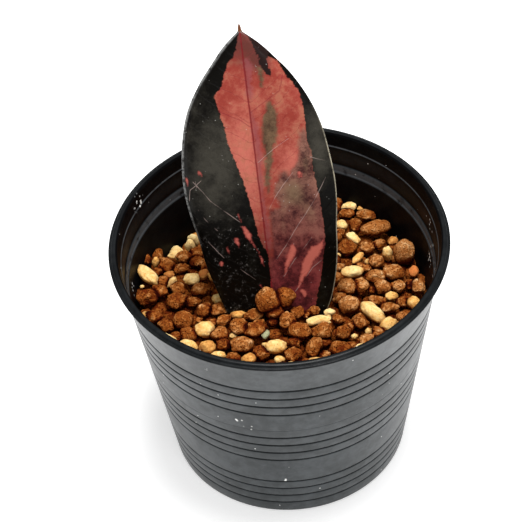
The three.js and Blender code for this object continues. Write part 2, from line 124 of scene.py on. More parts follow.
class Shade:
    """One output of a shader node. Its sums and products add Math nodes, so a pattern is a formula."""

    def __init__(self, socket):
        self.socket = socket

    def node(self, kind, settings, inputs, output=0):
        """Adds a node to the same material: first its settings, then a value or a link for each socket."""
        made = self.socket.id_data.nodes.new(kind)
        for key, value in settings.items():
            if key == "stops":
                stops = made.color_ramp.elements
                for _ in value[2:]:
                    stops.new(1.0)
                for stop, (place, colour) in zip(stops, value):
                    stop.position, stop.color = place, colour
            else:
                setattr(made, key, value)
        for key, value in inputs.items():
            if isinstance(value, Shade):
                value.into(made.inputs[key])
            else:
                made.inputs[key].default_value = value
        return Shade(made.outputs[output])

    def into(self, socket):
        """Links this output to an input socket."""
        self.socket.id_data.links.new(self.socket, socket)

    def math(self, operation, *values):
        return self.node("ShaderNodeMath", {"operation": operation}, dict(enumerate(values)))

    def __add__(self, other):
        return self.math("ADD", self, other)

    def __sub__(self, other):
        return self.math("SUBTRACT", self, other)

    def __rsub__(self, other):
        return self.math("SUBTRACT", other, self)

    def __mul__(self, other):
        return self.math("MULTIPLY", self, other)

    def __truediv__(self, other):
        return self.math("DIVIDE", self, other)

    __radd__ = __add__
    __rmul__ = __mul__

    def __abs__(self):
        return self.math("ABSOLUTE", self)

    def step(self, low, high):
        """0 below low and 1 above high, easing in between."""
        sockets = {"Value": self, "From Min": low, "From Max": high}
        return self.node("ShaderNodeMapRange", {"interpolation_type": "SMOOTHSTEP"}, sockets)

    def mix(self, low, high):
        """A colour that is low where this is 0 and high where it is 1."""
        return self.node("ShaderNodeMix", {"data_type": "RGBA"}, {0: self, 6: low, 7: high}, output=2)

    def noise(self, scale, detail=2.0, roughness=0.5):
        """A cloudy pattern over this place, with a number of waves to the metre."""
        sockets = {"Vector": self, "Scale": scale, "Detail": detail, "Roughness": roughness}
        return self.node("ShaderNodeTexNoise", {}, sockets)

    def cells(self, scale, feature="F1"):
        """The distance to the nearest of many scattered points, or to the edge of its cell."""
        sockets = {"Vector": self, "Scale": scale}
        return self.node("ShaderNodeTexVoronoi", {"feature": feature}, sockets, "Distance")

    def bump(self, distance):
        """A surface normal from this height, where 1 is a distance in metres."""
        return self.node("ShaderNodeBump", {}, {"Height": self, "Distance": distance})

    def field(self, name):
        """A number that the mesh carries at each of its points."""
        return self.node("ShaderNodeAttribute", {"attribute_name": name}, {}, "Fac")

    def axis(self, name):
        """One coordinate of this place, in metres."""
        return self.node("ShaderNodeSeparateXYZ", {}, {"Vector": self}, name)


def new_material(name, fixed):
    """A material, its shader with the values that are the same all over, and its object coordinates."""
    material = bpy.data.materials.new(name)
    material.use_nodes = True
    shader = material.node_tree.nodes["Principled BSDF"]
    for socket, value in fixed.items():
        shader.inputs[socket].default_value = value
    place = Shade(shader.outputs[0]).node("ShaderNodeTexCoord", {}, {}, "Object")
    return material, shader, place


def turned(profile, sides):
    """A round surface: each point of radius and height carried round the vertical axis."""
    radius, height = profile[:, 0, None], profile[:, 1, None]
    turn = 2 * np.pi * np.arange(sides)[None, :] / sides
    points = np.stack([radius * np.cos(turn), radius * np.sin(turn), height + 0 * turn], axis=-1)
    return points.reshape(-1, 3), grid_faces(len(profile), sides)


glowing_floor, glowing_floor_shader, place = new_material("glowing_pale_floor", {
    "Roughness": 0.85, "Specular IOR Level": 0.2, "Emission Strength": 0.5,
})
# Painted light: the floor glows, white near the pot and fading to grey from 0.2 to 0.6 m out.
reach = place.node("ShaderNodeVectorMath", {"operation": "LENGTH"}, {0: place}, "Value")
reach.step(0.2, 0.6).mix(rgb(255, 255, 255), rgb(90, 90, 90)).into(glowing_floor_shader.inputs["Emission Color"])
cloud = place.noise(30, 3).step(0.2, 0.8)
cloud.mix(rgb(243, 243, 243), rgb(247, 247, 247)).into(glowing_floor_shader.inputs["Base Color"])
floor_radii = FLOOR_RADIUS * (np.arange(FLOOR_RINGS + 1) / FLOOR_RINGS) ** 2
floor_profile = np.stack([floor_radii, 0 * floor_radii - FLOOR_BELOW], axis=-1)
floor = make_piece("floor", [turned(floor_profile, FLOOR_SIDES)])
floor.data.materials.append(glowing_floor)

world = bpy.data.worlds.new("studio")
world.use_nodes = True
world.node_tree.nodes["Background"].inputs["Color"].default_value = (1.0, 1.0, 1.0, 1.0)
world.node_tree.nodes["Background"].inputs["Strength"].default_value = ROOM_LIGHT
bpy.context.scene.world = world

for lamp_name, (stand, aim, size, power) in LAMPS.items():
    lamp_data = bpy.data.lights.new(lamp_name, "AREA")
    lamp_data.shape = "DISK"
    lamp_data.size = size * 0.001
    lamp_data.energy = power
    lamp = bpy.data.objects.new(lamp_name, lamp_data)
    bpy.context.scene.collection.objects.link(lamp)
    beam = (Vector(aim) - Vector(stand)).to_track_quat("-Z", "Y").to_matrix().to_4x4()
    lamp.matrix_world = Matrix.Translation(Vector(stand) * 0.001) @ beam


# The pot, one moulding of black polyethylene: a thin tapered wall with three groups of four fine grooves,
# a flared band, a lip rolled outwards with a bead on its top, a narrow ledge inside where the band starts,
# and a floor on a foot ring with drain holes.
BASE_RADIUS = 33.0
WALL_TOP_RADIUS = 43.2
POT_HEIGHT = 75.0
WALL = 0.8
GROOVE_FIRST = 5.26
GROOVE_PITCH = 3.757
GROOVE_STEPS = (0, 1, 2, 3, 6, 7, 8, 9, 12, 13, 14, 15)
GROOVE_HALF_WIDTH = 0.42
GROOVE_DEPTH = 0.34
FAINT_LINE_STEP, FAINT_HALF_WIDTH, FAINT_DEPTH = 10, 0.25, 0.06
INNER_FROM = 0.5
POT_SIDES = 192
FLOOR_TOP = 3.0
FLOOR_UNDER = 2.0
FLOOR_REACH = 24.0
CENTRE_HOLE = 6.0
SIDE_HOLE = 3.5
SIDE_HOLE_RING = 17.0
SIDE_HOLES = 6
SECTOR_RINGS, SECTOR_SPOKES = 5, 7

# Dusty places on the rim, the ledge and the wall, each with how far it reaches.
DUSTY_PLACES = [
    (40.4, 3, 61.5, 5), (40.6, -4, 63, 4), (41, 8, 68, 3), (-13.5, -36.8, 45.5, 2.5), (-11, -37.4, 43.5, 2),
    (-21, -36.8, 68.7, 2.5), (-39.5, 2, 58, 4), (-38, 20, 72, 4), (8, -38.4, 46, 1), (-2.4, -35.3, 17.5, 1.2),
]


def wall_radius(z):
    """The radius of the plain outer wall, which widens evenly with height."""
    return BASE_RADIUS + (WALL_TOP_RADIUS - BASE_RADIUS) * z / POT_HEIGHT


def groove(step, half_width, depth):
    """A rounded V cut in the outer wall, as points of radius, height and corner cut."""
    z = GROOVE_FIRST + GROOVE_PITCH * step
    return [
        (wall_radius(z - half_width), z - half_width, 0.1),
        (wall_radius(z) - depth, z, 0.08),
        (wall_radius(z + half_width), z + half_width, 0.1),
    ]


def eased(profile, steps=4):
    """A profile with each corner replaced by a short curve, a quadratic from one cut to the next."""
    rows = np.array(profile)
    corner, cut = rows[1:-1, :2], rows[1:-1, 2:]
    back, on = rows[:-2, :2] - corner, rows[2:, :2] - corner
    first = corner + back / np.linalg.norm(back, axis=1, keepdims=True) * cut
    last = corner + on / np.linalg.norm(on, axis=1, keepdims=True) * cut
    t = np.linspace(0, 1, steps)[None, :, None]
    curves = (1 - t) ** 2 * first[:, None] + 2 * t * (1 - t) * corner[:, None] + t * t * last[:, None]
    return np.concatenate([rows[:1, :2], curves.reshape(-1, 2), rows[-1:, :2]])


def drilled_sector(number):
    """One sixth of the flat floor round a side hole, as both of its faces and the hole's wall. Each point
    is a blend from the hole's circle to the sector's outline, seen from the hole's middle."""
    arc = np.radians(np.linspace(-30, 30, POT_SIDES // SIDE_HOLES + 1))
    run = np.linspace(FLOOR_REACH, CENTRE_HOLE, SECTOR_SPOKES)
    along = np.ones(arc.size - 1)
    reach = np.concatenate([along * FLOOR_REACH, run[:-1], along * CENTRE_HOLE, run[:0:-1]])
    across = np.ones(SECTOR_SPOKES - 1)
    angle = np.concatenate([arc[:-1], across * arc[-1], arc[:0:-1], across * arc[0]])
    outline = np.stack([reach * np.cos(angle), reach * np.sin(angle)], axis=-1)
    middle = np.array([SIDE_HOLE_RING, 0.0])
    circle = middle + SIDE_HOLE * (outline - middle) / np.linalg.norm(outline - middle, axis=1, keepdims=True)
    t = np.linspace(0, 1, SECTOR_RINGS)[:, None, None]
    plan = circle * (1 - t) + outline * t
    turn = 2 * np.pi * number / SIDE_HOLES
    spun = plan @ np.array([[np.cos(turn), np.sin(turn)], [-np.sin(turn), np.cos(turn)]])
    top, under = (np.insert(spun, 2, z, axis=2) for z in (FLOOR_TOP, FLOOR_UNDER))
    wall = np.stack([top[0], under[0]])
    return [(part.reshape(-1, 3), grid_faces(len(part), part.shape[1])) for part in (top, under, wall)]


grooves = [groove(step, GROOVE_HALF_WIDTH, GROOVE_DEPTH) for step in GROOVE_STEPS]
grooves.append(groove(FAINT_LINE_STEP, FAINT_HALF_WIDTH, FAINT_DEPTH))
wall_points = sorted([point for cut in grooves for point in cut], key=lambda point: point[1])

# Radius, height and corner cut from the floor's underside out over the foot ring, up the wall, over the lip
# and its bead, and down inside past the ledge to the floor's top.
pot_profile = eased([
    (FLOOR_REACH, FLOOR_UNDER, 0), (26.0, 0.0, 0.3), (32.2, 0.0, 0.5), (wall_radius(0.8), 0.8, 0.4),
    *wall_points,
    (43.9, 73.1, 0.2), (44.6, 73.45, 0.25), (45.0, 74.05, 0.25), (44.75, 74.45, 0.2), (44.3, 74.4, 0.12),
    (44.05, 74.85, 0.2), (43.6, 75.0, 0.2), (43.0, 75.0, 0.2), (42.6, 74.5, 0.25), (41.95, 70.9, 0.1),
    (41.8, 70.6, 0.1), (41.45, 65.1, 0.15), (41.05, 64.6, 0.15), (40.95, 62.7, 0.15), (40.6, 62.2, 0.15),
    (wall_radius(1.0) - WALL, 1.0, 0.4), (26.0, 1.0, 0.4), (FLOOR_REACH, FLOOR_TOP, 0),
])
hole_wall = turned(np.array([[CENTRE_HOLE, FLOOR_TOP], [CENTRE_HOLE, FLOOR_UNDER]]), POT_SIDES)
floor_patches = [patch for number in range(SIDE_HOLES) for patch in drilled_sector(number)]
pot_patches = [turned(pot_profile, POT_SIDES), hole_wall, *floor_patches]
x, y, z = np.concatenate([points for points, _ in pot_patches]).T
in_from_wall = wall_radius(z) - np.hypot(x, y)
pot = make_piece("nursery_pot", pot_patches, {
    "inner": in_from_wall > INNER_FROM,
    "cut": np.clip(in_from_wall / GROOVE_DEPTH, 0, 1),
}, sharp=60.0)

plastic, shader, place = new_material("black_polyethylene", {
    "IOR": 1.5, "Specular IOR Level": 0.04, "Coat IOR": 1.5, "Coat Roughness": 0.28,
})
inner, cut, height = place.field("inner"), place.field("cut"), place.axis("Z")
cloud, mottle, grain = place.noise(70, 5, 0.7), place.noise(420, 4, 0.6), place.noise(2200, 2)
worn = (cloud + (mottle - 0.5) * 0.7).step(0.3, 0.75)
# The outside is painted dark grey, partly the plastic's own colour and partly a painted reflection of the
# floor. The inside, the same plastic, is painted near-black as painted shade, and the rim top is darker.
colour = worn.mix(rgb(31, 36, 38), rgb(50, 55, 58))
dark = inner.math("MAXIMUM", inner, height.step(0.0729, 0.0733) * 0.8)
colour = dark.mix(colour, worn.mix(rgb(2, 2, 3), rgb(9, 10, 11)))
# Painted shade: the outer grooves are painted near-black.
colour = (cut.step(0.2, 0.8) * (1 - inner)).mix(colour, rgb(4, 4, 5))
# Painted highlights: a grey stripe on the upward-facing ledge inside and a thin line on the small step above
# it.
ledge = height.step(0.0620, 0.0628) - height.step(0.0642, 0.0652)
band_edge_glint = height.step(0.0705, 0.0707) - height.step(0.0709, 0.0711)
colour = ((ledge * 0.9 + band_edge_glint * 0.8) * inner * mottle.step(0.2, 0.5)).mix(colour, rgb(78, 81, 84))
speck = (1 - place.cells(300).step(0.04, 0.07)) * place.noise(110).step(0.45, 0.6)
for x, y, z, reach in DUSTY_PLACES:
    ends = {0: place, 1: (x * 0.001, y * 0.001, z * 0.001)}
    away = place.node("ShaderNodeVectorMath", {"operation": "DISTANCE"}, ends, "Value")
    speck = speck + (1 - away.step(0.0, reach * 0.001)) * (1 - place.cells(800).step(0.2, 0.38))
colour = speck.step(0.1, 0.6).mix(colour, rgb(226, 226, 222))
colour.into(shader.inputs["Base Color"])
# Less sheen inside the pot and in the grooves, as part of their painted shade, and less on the rim top.
((1 - dark * 0.85) * (1 - cut * (1 - inner) * 0.7) * (worn * 0.12 + 0.52)).into(shader.inputs["Coat Weight"])
((grain - 0.5) * 0.2 + 0.55).into(shader.inputs["Roughness"])
(grain * 0.5 + mottle * 1.5 + cloud * 3.0).bump(0.00004).into(shader.inputs["Normal"])
pot.data.materials.append(plastic)
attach(pot, "root")
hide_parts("pot")


# The body of the mix under the granules that are seen: crumbs of fired clay, very dark brown and darkest
# between the crumbs, packed down to the pot's floor. Its top follows the surface of the mix, lowest at the
# back left and heaped at the leaf.
MIX_LEVEL = 55.0
MIX_FALL_BACK = 0.06
MIX_FALL_RIGHT = 0.03
MIX_BELLS = ((-28.0, 28.0, -4.0, 9.0), (-1.0, -13.0, 3.0, 9.0))
FILL_HOLLOWS = ((-30.0, 30.0, -5.5, 7.0), (34.0, 21.0, -3.5, 5.0))
BED_DEPTH = 4.5
BED_GAP = 0.3
BED_SIDES = 96
BED_RINGS = 30
INNER_WALL = ((1.0, 32.33), (62.2, 40.6), (65.1, 41.45), (74.5, 42.6))


def mix_height(x, y, bells=MIX_BELLS):
    """The height of the mix in plan: a sloping plane with bell-shaped dips and heaps. Each bell is a place
    in x and y, its rise, and its spread as the bell's standard deviation."""
    height = MIX_LEVEL - MIX_FALL_BACK * y - MIX_FALL_RIGHT * x
    for at_x, at_y, rise, spread in bells:
        height = height + rise * np.exp(-((x - at_x) ** 2 + (y - at_y) ** 2) / (2 * spread ** 2))
    return height


def fill_height(x, y):
    """The mix under what is seen, which has two more dips at the back, by the wall."""
    return mix_height(x, y, MIX_BELLS + FILL_HOLLOWS)


def inner_radius(z):
    """The radius of the pot's inner wall at a height."""
    heights, radii = zip(*INNER_WALL)
    return np.interp(z, heights, radii)


bed_side = [(inner_radius(z) - BED_GAP, z) for z in np.linspace(1.0 + BED_GAP, 44.0, 12)]
bed_floor = [(r, z + BED_GAP) for r, z in ((0.0, FLOOR_TOP), (FLOOR_REACH, FLOOR_TOP), (26.0, 1.0))]
bed_points, _ = turned(np.array(bed_floor + bed_side), BED_SIDES)
top_radii = np.linspace(inner_radius(50.0) - BED_GAP, 0.0, BED_RINGS)
top_points, _ = turned(np.stack([top_radii, 0 * top_radii], axis=-1), BED_SIDES)
top_points[:, 2] = fill_height(top_points[:, 0], top_points[:, 1]) - BED_DEPTH
bed_points = np.concatenate([bed_points, top_points])
bed = make_piece("mix_bed", [(bed_points, grid_faces(len(bed_points) // BED_SIDES, BED_SIDES))])

crumbs, shader, place = new_material("dark_clay_crumbs", {"Roughness": 0.95, "Specular IOR Level": 0.2})
lump = place.cells(420)
(1 - lump.step(0.0, 0.7)).mix(rgb(30, 5, 1), rgb(80, 30, 6)).into(shader.inputs["Base Color"])
(1 - lump).bump(0.0012).into(shader.inputs["Normal"])
bed.data.materials.append(crumbs)
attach(bed, "root")
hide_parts("soil_mix")


# The leaf's own form, worked out before the granules, because they lie against it. It stands in the mix
# on a buried stalk, leans back and a little to the left, and is folded a little along its midrib.
LEAF_FOOT = np.array([-2.3, -8.9, 58.5])
LEAN_BACK, LEAN_LEFT = np.radians([18.0, 3.0])
BLADE_THICKNESS = 1.1
EDGE_THICKNESS = 0.7
STALK_THICKNESS = 2.8
STALK_STATIONS = (-18, -4)
LEAF_FOLD = 1.8
FOLD_STATION = 22
LEAF_ROLL = 1.2
LEAF_BOW = 2
LEAF_LENGTH = 80
LEAF_HALF_WIDTH = 19

# The outline: stations along the blade, with its half-width to the left and to the right of the midrib.
LEAF_OUTLINE = np.array([
    (-22, 1.3, 1.3), (-17, 1.5, 1.5), (-13, 3.4, 3.6), (-9, 7.2, 8.4), (-5, 10.2, 12.4), (0, 12.7, 15.1),
    (7, 14.6, 17.1), (14, 16.3, 18.2), (22, 17.4, 18.8), (29, 18.6, 19.5), (36, 19.3, 19.6), (43, 19.0, 18.9),
    (51, 17.8, 17.6), (58, 15.6, 15.3), (65, 11.6, 11.5), (70, 7.7, 7.7), (74, 4.4, 4.3), (76.6, 1.7, 1.6),
    (77.6, 0.6, 0.6), (78.8, 0.35, 0.35), (79.6, 0.12, 0.12),
])

flat = np.array([0.0, np.sin(LEAN_BACK), np.cos(LEAN_BACK)])
leaf_face = np.array([0.0, -np.cos(LEAN_BACK), np.sin(LEAN_BACK)])
leaf_along = flat * np.cos(LEAN_LEFT) + np.cross(leaf_face, flat) * np.sin(LEAN_LEFT)
leaf_across = np.cross(leaf_along, leaf_face)


def ease(low, high, value):
    """0 below low and 1 above high, easing in between as 3t2 - 2t3."""
    t = np.clip((value - low) / (high - low), 0, 1)
    return t * t * (3 - 2 * t)


def leaf_half(station, left):
    """The half-width at a station, on a smooth cubic curve through the outline's rows."""
    stations, widths = LEAF_OUTLINE[:, 0], np.where(left[..., None], LEAF_OUTLINE[:, 1], LEAF_OUTLINE[:, 2])
    last = len(stations) - 1
    number = np.arange(last + 1)
    low, high = np.maximum(number - 1, 0), np.minimum(number + 1, last)
    slopes = (widths[..., high] - widths[..., low]) / (stations[high] - stations[low])
    row = np.clip(np.searchsorted(stations, station) - 1, 0, last - 1)
    run = stations[row + 1] - stations[row]
    t = np.clip((station - stations[row]) / run, 0, 1)
    width, slope = ([np.take_along_axis(values, at[..., None], -1)[..., 0] for at in (row, row + 1)]
                    for values in (widths, slopes))
    curve = t * (1 - t) ** 2 * run * slope[0] + t * t * (t - 1) * run * slope[1]
    return width[0] + (width[1] - width[0]) * t * t * (3 - 2 * t) + curve


def leaf_lift(share, half, station):
    """How far the blade's middle sheet stands out of its plane: the fold along the midrib, less the roll
    of its margins, less the bow back to the tip."""
    above = ease(0, FOLD_STATION, station)
    fold = LEAF_FOLD * above * np.abs(share) * np.minimum(half / LEAF_HALF_WIDTH, 1)
    roll = LEAF_ROLL * above * np.abs(share) ** 6 * np.minimum(half / 6, 1)
    return fold - roll - LEAF_BOW * (np.maximum(station, 0) / LEAF_LENGTH) ** 2


def leaf_thickness(share, station):
    """The blade's thickness: thin at its edge, thicker at the midrib, and thickest in the buried stalk."""
    middle = BLADE_THICKNESS + (STALK_THICKNESS - BLADE_THICKNESS) * (1 - ease(*STALK_STATIONS, station))
    return EDGE_THICKNESS + (middle - EDGE_THICKNESS) * np.sqrt(np.maximum(1 - share ** 2, 0))


LEAF_ROWS = 280
FRONT_COLUMNS = 104
BACK_COLUMNS = 64
EDGE_STEPS = 5
STALK_END, TIP = LEAF_OUTLINE[[0, -1], 0]

# The midrib as a groove in front and a keel behind: how far it is out, and its half-width.
MIDRIB_FRONT, MIDRIB_BACK = (-0.3, 0.5), (-0.8, 1.1)
WAVE_HEIGHT, WAVE_RATE, WAVE_SHIFT = 0.22, 0.33, 2.2
LEFT_CURL, LEFT_CURL_FROM = 0.6, 0.92


def leaf_ring():
    """One turn round the blade: shares of its half-width, the side of its middle sheet from 1 on the
    front to -1 on the back, and how far round each margin's half-circle a point is."""
    turn = np.pi * (0.5 - np.arange(1, EDGE_STEPS + 1) / (EDGE_STEPS + 1))
    even = np.linspace(-1, 1, FRONT_COLUMNS)
    front = 0.6 * even + 0.4 * np.sin(np.pi / 2 * even)
    back = np.linspace(1, -1, BACK_COLUMNS)
    edge = np.ones(EDGE_STEPS)
    share = np.concatenate([front, edge, back, -edge])
    side = np.concatenate([0 * front + 1, np.sin(turn), 0 * back - 1, -np.sin(turn)])
    cap = np.concatenate([0 * front, np.cos(turn), 0 * back, np.cos(turn)])
    return share, side, cap


def leaf_surface():
    """Points of the blade from its ring and its stations, and each point's place across and along it.
    A point is out by the middle sheet's lift, half the thickness to its side, the groove that the midrib
    makes in front or its keel behind, a slow wave along each margin, and a tighter roll of the left one."""
    share, side, cap = (row[None, :] for row in leaf_ring())
    t = np.linspace(0, 1, LEAF_ROWS)[:, None]
    body = np.where((t > 0) & (t < 1), 1, 0)
    station = STALK_END + (TIP - STALK_END) * 0.5 * (t + np.sin(np.pi * t / 2)) + 0 * share
    half = leaf_half(station, share + 0 * station < 0) * body
    rim = np.minimum(0.5 * EDGE_THICKNESS, 0.8 * half)
    across = share * (half - rim) + np.sign(share) * cap * rim
    thick = leaf_thickness(share, station) * np.minimum(0.3 + half / 5, 1) * body
    depth, spread = (np.where(side > 0, *pair) for pair in zip(MIDRIB_FRONT, MIDRIB_BACK))
    rib = depth * np.exp(-(across / spread) ** 2) * ease(-20, -6, station) * (1 - ease(60, 76, station))
    above = ease(0, 20, station) * (1 - ease(66, 78, station))
    wave = WAVE_HEIGHT * np.sin(WAVE_RATE * station + WAVE_SHIFT * np.sign(share)) * np.abs(share) ** 4
    curl = -LEFT_CURL * ease(LEFT_CURL_FROM, 1.0, -share)
    out = leaf_lift(share, half, station) + 0.5 * thick * side + rib * np.abs(side) + (wave + curl) * above
    ways = ((across, leaf_across), (station, leaf_along), (out, leaf_face))
    points = LEAF_FOOT + sum(far[..., None] * way for far, way in ways)
    return points.reshape(-1, 3), across.ravel(), station.ravel(), (side + 0 * station).ravel()


# The leaf's markings, each an outline or a line drawn on the flat blade: millimetres across from
# the midrib and along from the mix. The dark green blade has one pink sector. In it are mauve and olive
# patches and a dark tongue, and there are pink flecks in the dark parts.
MARKINGS = {
    "pink": [
        [(-0.2, 77.4), (-1.1, 74.7), (-2.4, 71.7), (-3.7, 70.3), (-5.1, 67.6), (-6.1, 64.6), (-8, 62.2),
         (-8.1, 60.3), (-7.6, 57.3), (-6.7, 53), (-6.2, 47.5), (-5.4, 44.3), (-4.6, 40.8), (-3.8, 37.8),
         (-3.1, 33.2), (-2.6, 29.1), (-2.1, 26.4), (-1.8, 22.2), (-1.1, 19.2), (-0.2, 17), (0.1, 14.3),
         (0, 8), (0, -6), (9, -6), (11.1, 0.2), (12.1, 4.1), (13, 7.4), (14.2, 12.8), (15.2, 17.6),
         (15.3, 21.1), (15.2, 26.4), (15.1, 31.3), (14.7, 33.6), (14.3, 38.8), (14.2, 43.7), (13.5, 47.8),
         (13.6, 51.6), (13.4, 55.3), (13.3, 59.3), (11.9, 62.3), (9.9, 65.5), (8.3, 68.7), (6.1, 70.6),
         (4, 73.5), (2, 76.2), (0.6, 77.6)],
    ],
    "tongue": [
        [(1.2, 77.5), (1.8, 76.4), (2.3, 75.6), (2.6, 74.5), (2.9, 73.3), (3.6, 71.1), (3.8, 69.1),
         (4.7, 67.5), (5.1, 66.2), (6.3, 65.2), (6.6, 66.2), (6, 68.1), (5.7, 69.8), (6.4, 70.8),
         (8.5, 71.5), (5, 76), (2, 78.5)],
    ],
    "olive": [
        [(3.7, 67.9), (4.5, 67.3), (4.5, 65.1), (4, 63), (3.3, 62.8), (3.2, 64.7), (3.2, 66.3)],
        [(5.4, 59.3), (6.3, 56.9), (6.8, 54.7), (6.5, 52), (6.1, 49.3), (5.3, 47.3), (4.6, 45.8),
         (4.5, 43.9), (4.3, 42.2), (3.8, 40.5), (3.3, 38.6), (3, 36.9), (2.8, 35), (2.2, 33.3), (1.9, 34.5),
         (1.7, 36.8), (1.7, 38.9), (2.1, 40.6), (2.4, 42.4), (2.4, 44.2), (2.3, 46), (2.1, 47.7),
         (2.2, 49.6), (2.7, 52.8), (3.7, 56)],
        [(12.3, 46.6), (13.6, 46), (14, 43.8), (14, 41.3), (12.8, 40.4), (12, 42.7)],
    ],
    "purple": [
        [(0.2, 70.5), (1.9, 69.5), (1.8, 66.2), (1.3, 63.8), (1.5, 61.9), (0.8, 60), (0, 61), (0, 65)],
        [(0.2, 56.3), (1.1, 54.6), (1.6, 51.8), (1.8, 48.5), (1.8, 45.8), (1.2, 40), (0.9, 33), (1.2, 26),
         (1.4, 20), (0.4, 18), (0.2, 30), (0.2, 44), (0.1, 53)],
    ],
    "mauve": [
        [(5.2, 37.3), (6, 39), (7.1, 39.4), (8.1, 38), (8.6, 39.4), (9.7, 40.7), (10.5, 42.1), (10.9, 43.8),
         (11.4, 46.1), (12.1, 49.3), (13.3, 50.2), (14, 46.6), (16, 43), (17, 33), (17, 20), (16, 12),
         (13, 0), (12, -6), (-0.4, -6), (-0.3, 8), (0.6, 13.6), (1.3, 17.1), (1.7, 20), (1.7, 23),
         (1.8, 26.2), (1.8, 28.7), (3.1, 28.8), (4.4, 29), (4.8, 30.5), (4, 32), (3.9, 33.5), (4.2, 35.2)],
    ],
    "fleck": [
        [(7.1, 18.9), (7.8, 17.2), (7.4, 15.1), (6, 13.1), (5, 11.1), (4.1, 9), (3.2, 7.9), (3.7, 10.9),
         (4.2, 13.6), (5.1, 15.9), (6.3, 18.5)],
        [(11.3, 17.5), (12.9, 17.7), (14.3, 18.9), (15.1, 19.6), (14.9, 17), (13.6, 14.2), (12, 12.5),
         (11, 10.5), (9.7, 8.4), (8.1, 6.1), (6.7, 4.5), (6.7, 5.7), (7.2, 7.8), (7.9, 10.5), (8.6, 12.9),
         (9.7, 14.7)],
        [(7.1, 4.6), (8.2, 4.9), (9, 3.8), (9.1, 2.3), (8.1, 1.8), (7.3, 3.1)],
        [(10.1, 39.4), (11.4, 39), (11.3, 37.2), (10.1, 37.3)],
        [(-8.3, 22.3), (-6.9, 22.2), (-6.6, 20.4), (-6.9, 19), (-7.5, 19.1), (-8.1, 21.1)],
        [(-10.4, 20.1), (-9.8, 19.8), (-9.6, 17.7), (-10.2, 17.7), (-10.7, 19)],
        [(-12.7, 15.8), (-11.7, 15.9), (-11.5, 15), (-12.3, 14.2), (-12.8, 14.9)],
        [(-15.2, 42.5), (-14.5, 42.3), (-13.6, 40.8), (-14, 40), (-14.8, 41.1)],
        [(-18.6, 40.4), (-17.7, 40.1), (-17.9, 38), (-18.5, 37.8)],
        [(-6.1, 29.5), (-5.8, 27.9), (-5.3, 26.3), (-5.7, 26), (-6.4, 27.7), (-6.4, 29.1)],
        [(-5.9, 25.3), (-4.9, 25), (-4, 23.7), (-3.2, 22.4), (-3.6, 21.1), (-2.5, 18.4), (-1.6, 16.1),
         (-1, 12.6), (-1.4, 12.3), (-2.1, 14.3), (-3, 18.2), (-5, 21.4), (-5.7, 23.8)],
        [(-3.1, 7.3), (-2.5, 7.1), (-1.9, 5.4), (-2.6, 5.6)],
    ],
}
DRAWN_LINES = {
    "scratch": [
        [(1.1, 42.8), (2.9, 44.3), (5.4, 46.2), (8.2, 47.9)],
        [(8.5, 38.3), (6.2, 35.6), (3.7, 32.2), (2.3, 29.7)],
        [(16.9, 36.1), (15, 32.8), (13.8, 30.8), (11.3, 27.2), (8.6, 23.6), (5, 18.1), (2.6, 14.9)],
        [(11.5, 19.4), (8.4, 15.5), (6.8, 13.7), (4.1, 9.7)],
        [(13.3, 12.4), (11.3, 10.9), (8.9, 7.6), (6.6, 4.8)],
        [(-16.2, 38.7), (-14.7, 36.6), (-12.8, 33.5), (-10.7, 31.3), (-8.4, 28.9), (-6.6, 27)],
        [(-15.1, 39), (-17.7, 37), (-18.1, 34.7)],
        [(14.9, 42.3), (16.8, 41.5)],
        [(-16, 30.8), (-14.9, 28.6), (-14.1, 27.4), (-12.5, 25.4)],
        [(-14.4, 21.1), (-11.8, 17.3)],
        [(-7.1, 12.2), (-4.5, 9.5)],
    ],
    "vein": [
        [(0.7, 56.5), (4.5, 59.1), (8.1, 61.5), (9.1, 64.8)],
        [(-7.1, 57.3), (-2.6, 54.5), (-0.7, 52.6)],
    ],
}

# Soft spots: across and along, how wide and how tall, and how strong. The dark skin is paler in the first,
# a painted sheen, and the pink is brighter, dusky or mossy in the others.
SOFT_SPOTS = {
    "pale": [
        (-11, 44, 6, 13, 0.9), (-5, 45, 4, 10, 0.3), (16, 49, 3, 8, 0.9), (16, 40, 3, 6, 0.6),
        (-13, 33, 4, 5, 0.3),
    ],
    "bright": [(-3, 42, 5, 16, 1.0), (9, 42, 4, 5, 0.9), (2, 60, 4, 9, 0.25), (11, 56, 4, 9, 0.15)],
    "dusky": [(0, 77, 7, 8, 1.2), (4, 70, 3, 4, 0.7), (1, 4, 7, 12, 0.8), (-1, 18, 3, 9, 0.5)],
    "mossy": [(8.5, 33, 3.5, 5, 0.9), (12.5, 27, 2.5, 6, 0.5), (5, 24, 1.5, 6, 0.5), (12.5, 41, 1.5, 4, 0.7)],
}
LINE_REACH = 0.9


def smoothed(line, steps=3):
    """A closed outline with more corners, on the cubic curve that passes through all of those drawn."""
    here = np.array(line, float)
    before, after, later = np.roll(here, 1, 0), np.roll(here, -1, 0), np.roll(here, -2, 0)
    t = (np.arange(steps) / steps)[None, :, None]
    a, b, c, d = (corner[:, None] for corner in (before, here, after, later))
    curve = 2 * b + (c - a) * t + (2 * a - 5 * b + 4 * c - d) * t ** 2 + (3 * b - a - 3 * c + d) * t ** 3
    return 0.5 * curve.reshape(-1, 2)


def side_offsets(spots, starts, ends):
    """For each spot, its distance from the nearest side of a drawn line and how far it is off to the
    left of that side."""
    way, run = spots[:, None] - starts, ends - starts
    share = np.clip(np.sum(way * run, -1) / np.sum(run * run, -1), 0, 1)
    distance = np.linalg.norm(way - share[..., None] * run, axis=-1)
    left = (run[:, 0] * way[..., 1] - run[:, 1] * way[..., 0]) / np.linalg.norm(run, axis=-1)
    nearest = distance.argmin(axis=1)[:, None]
    return np.take_along_axis(distance, nearest, 1)[:, 0], np.take_along_axis(left, nearest, 1)[:, 0]


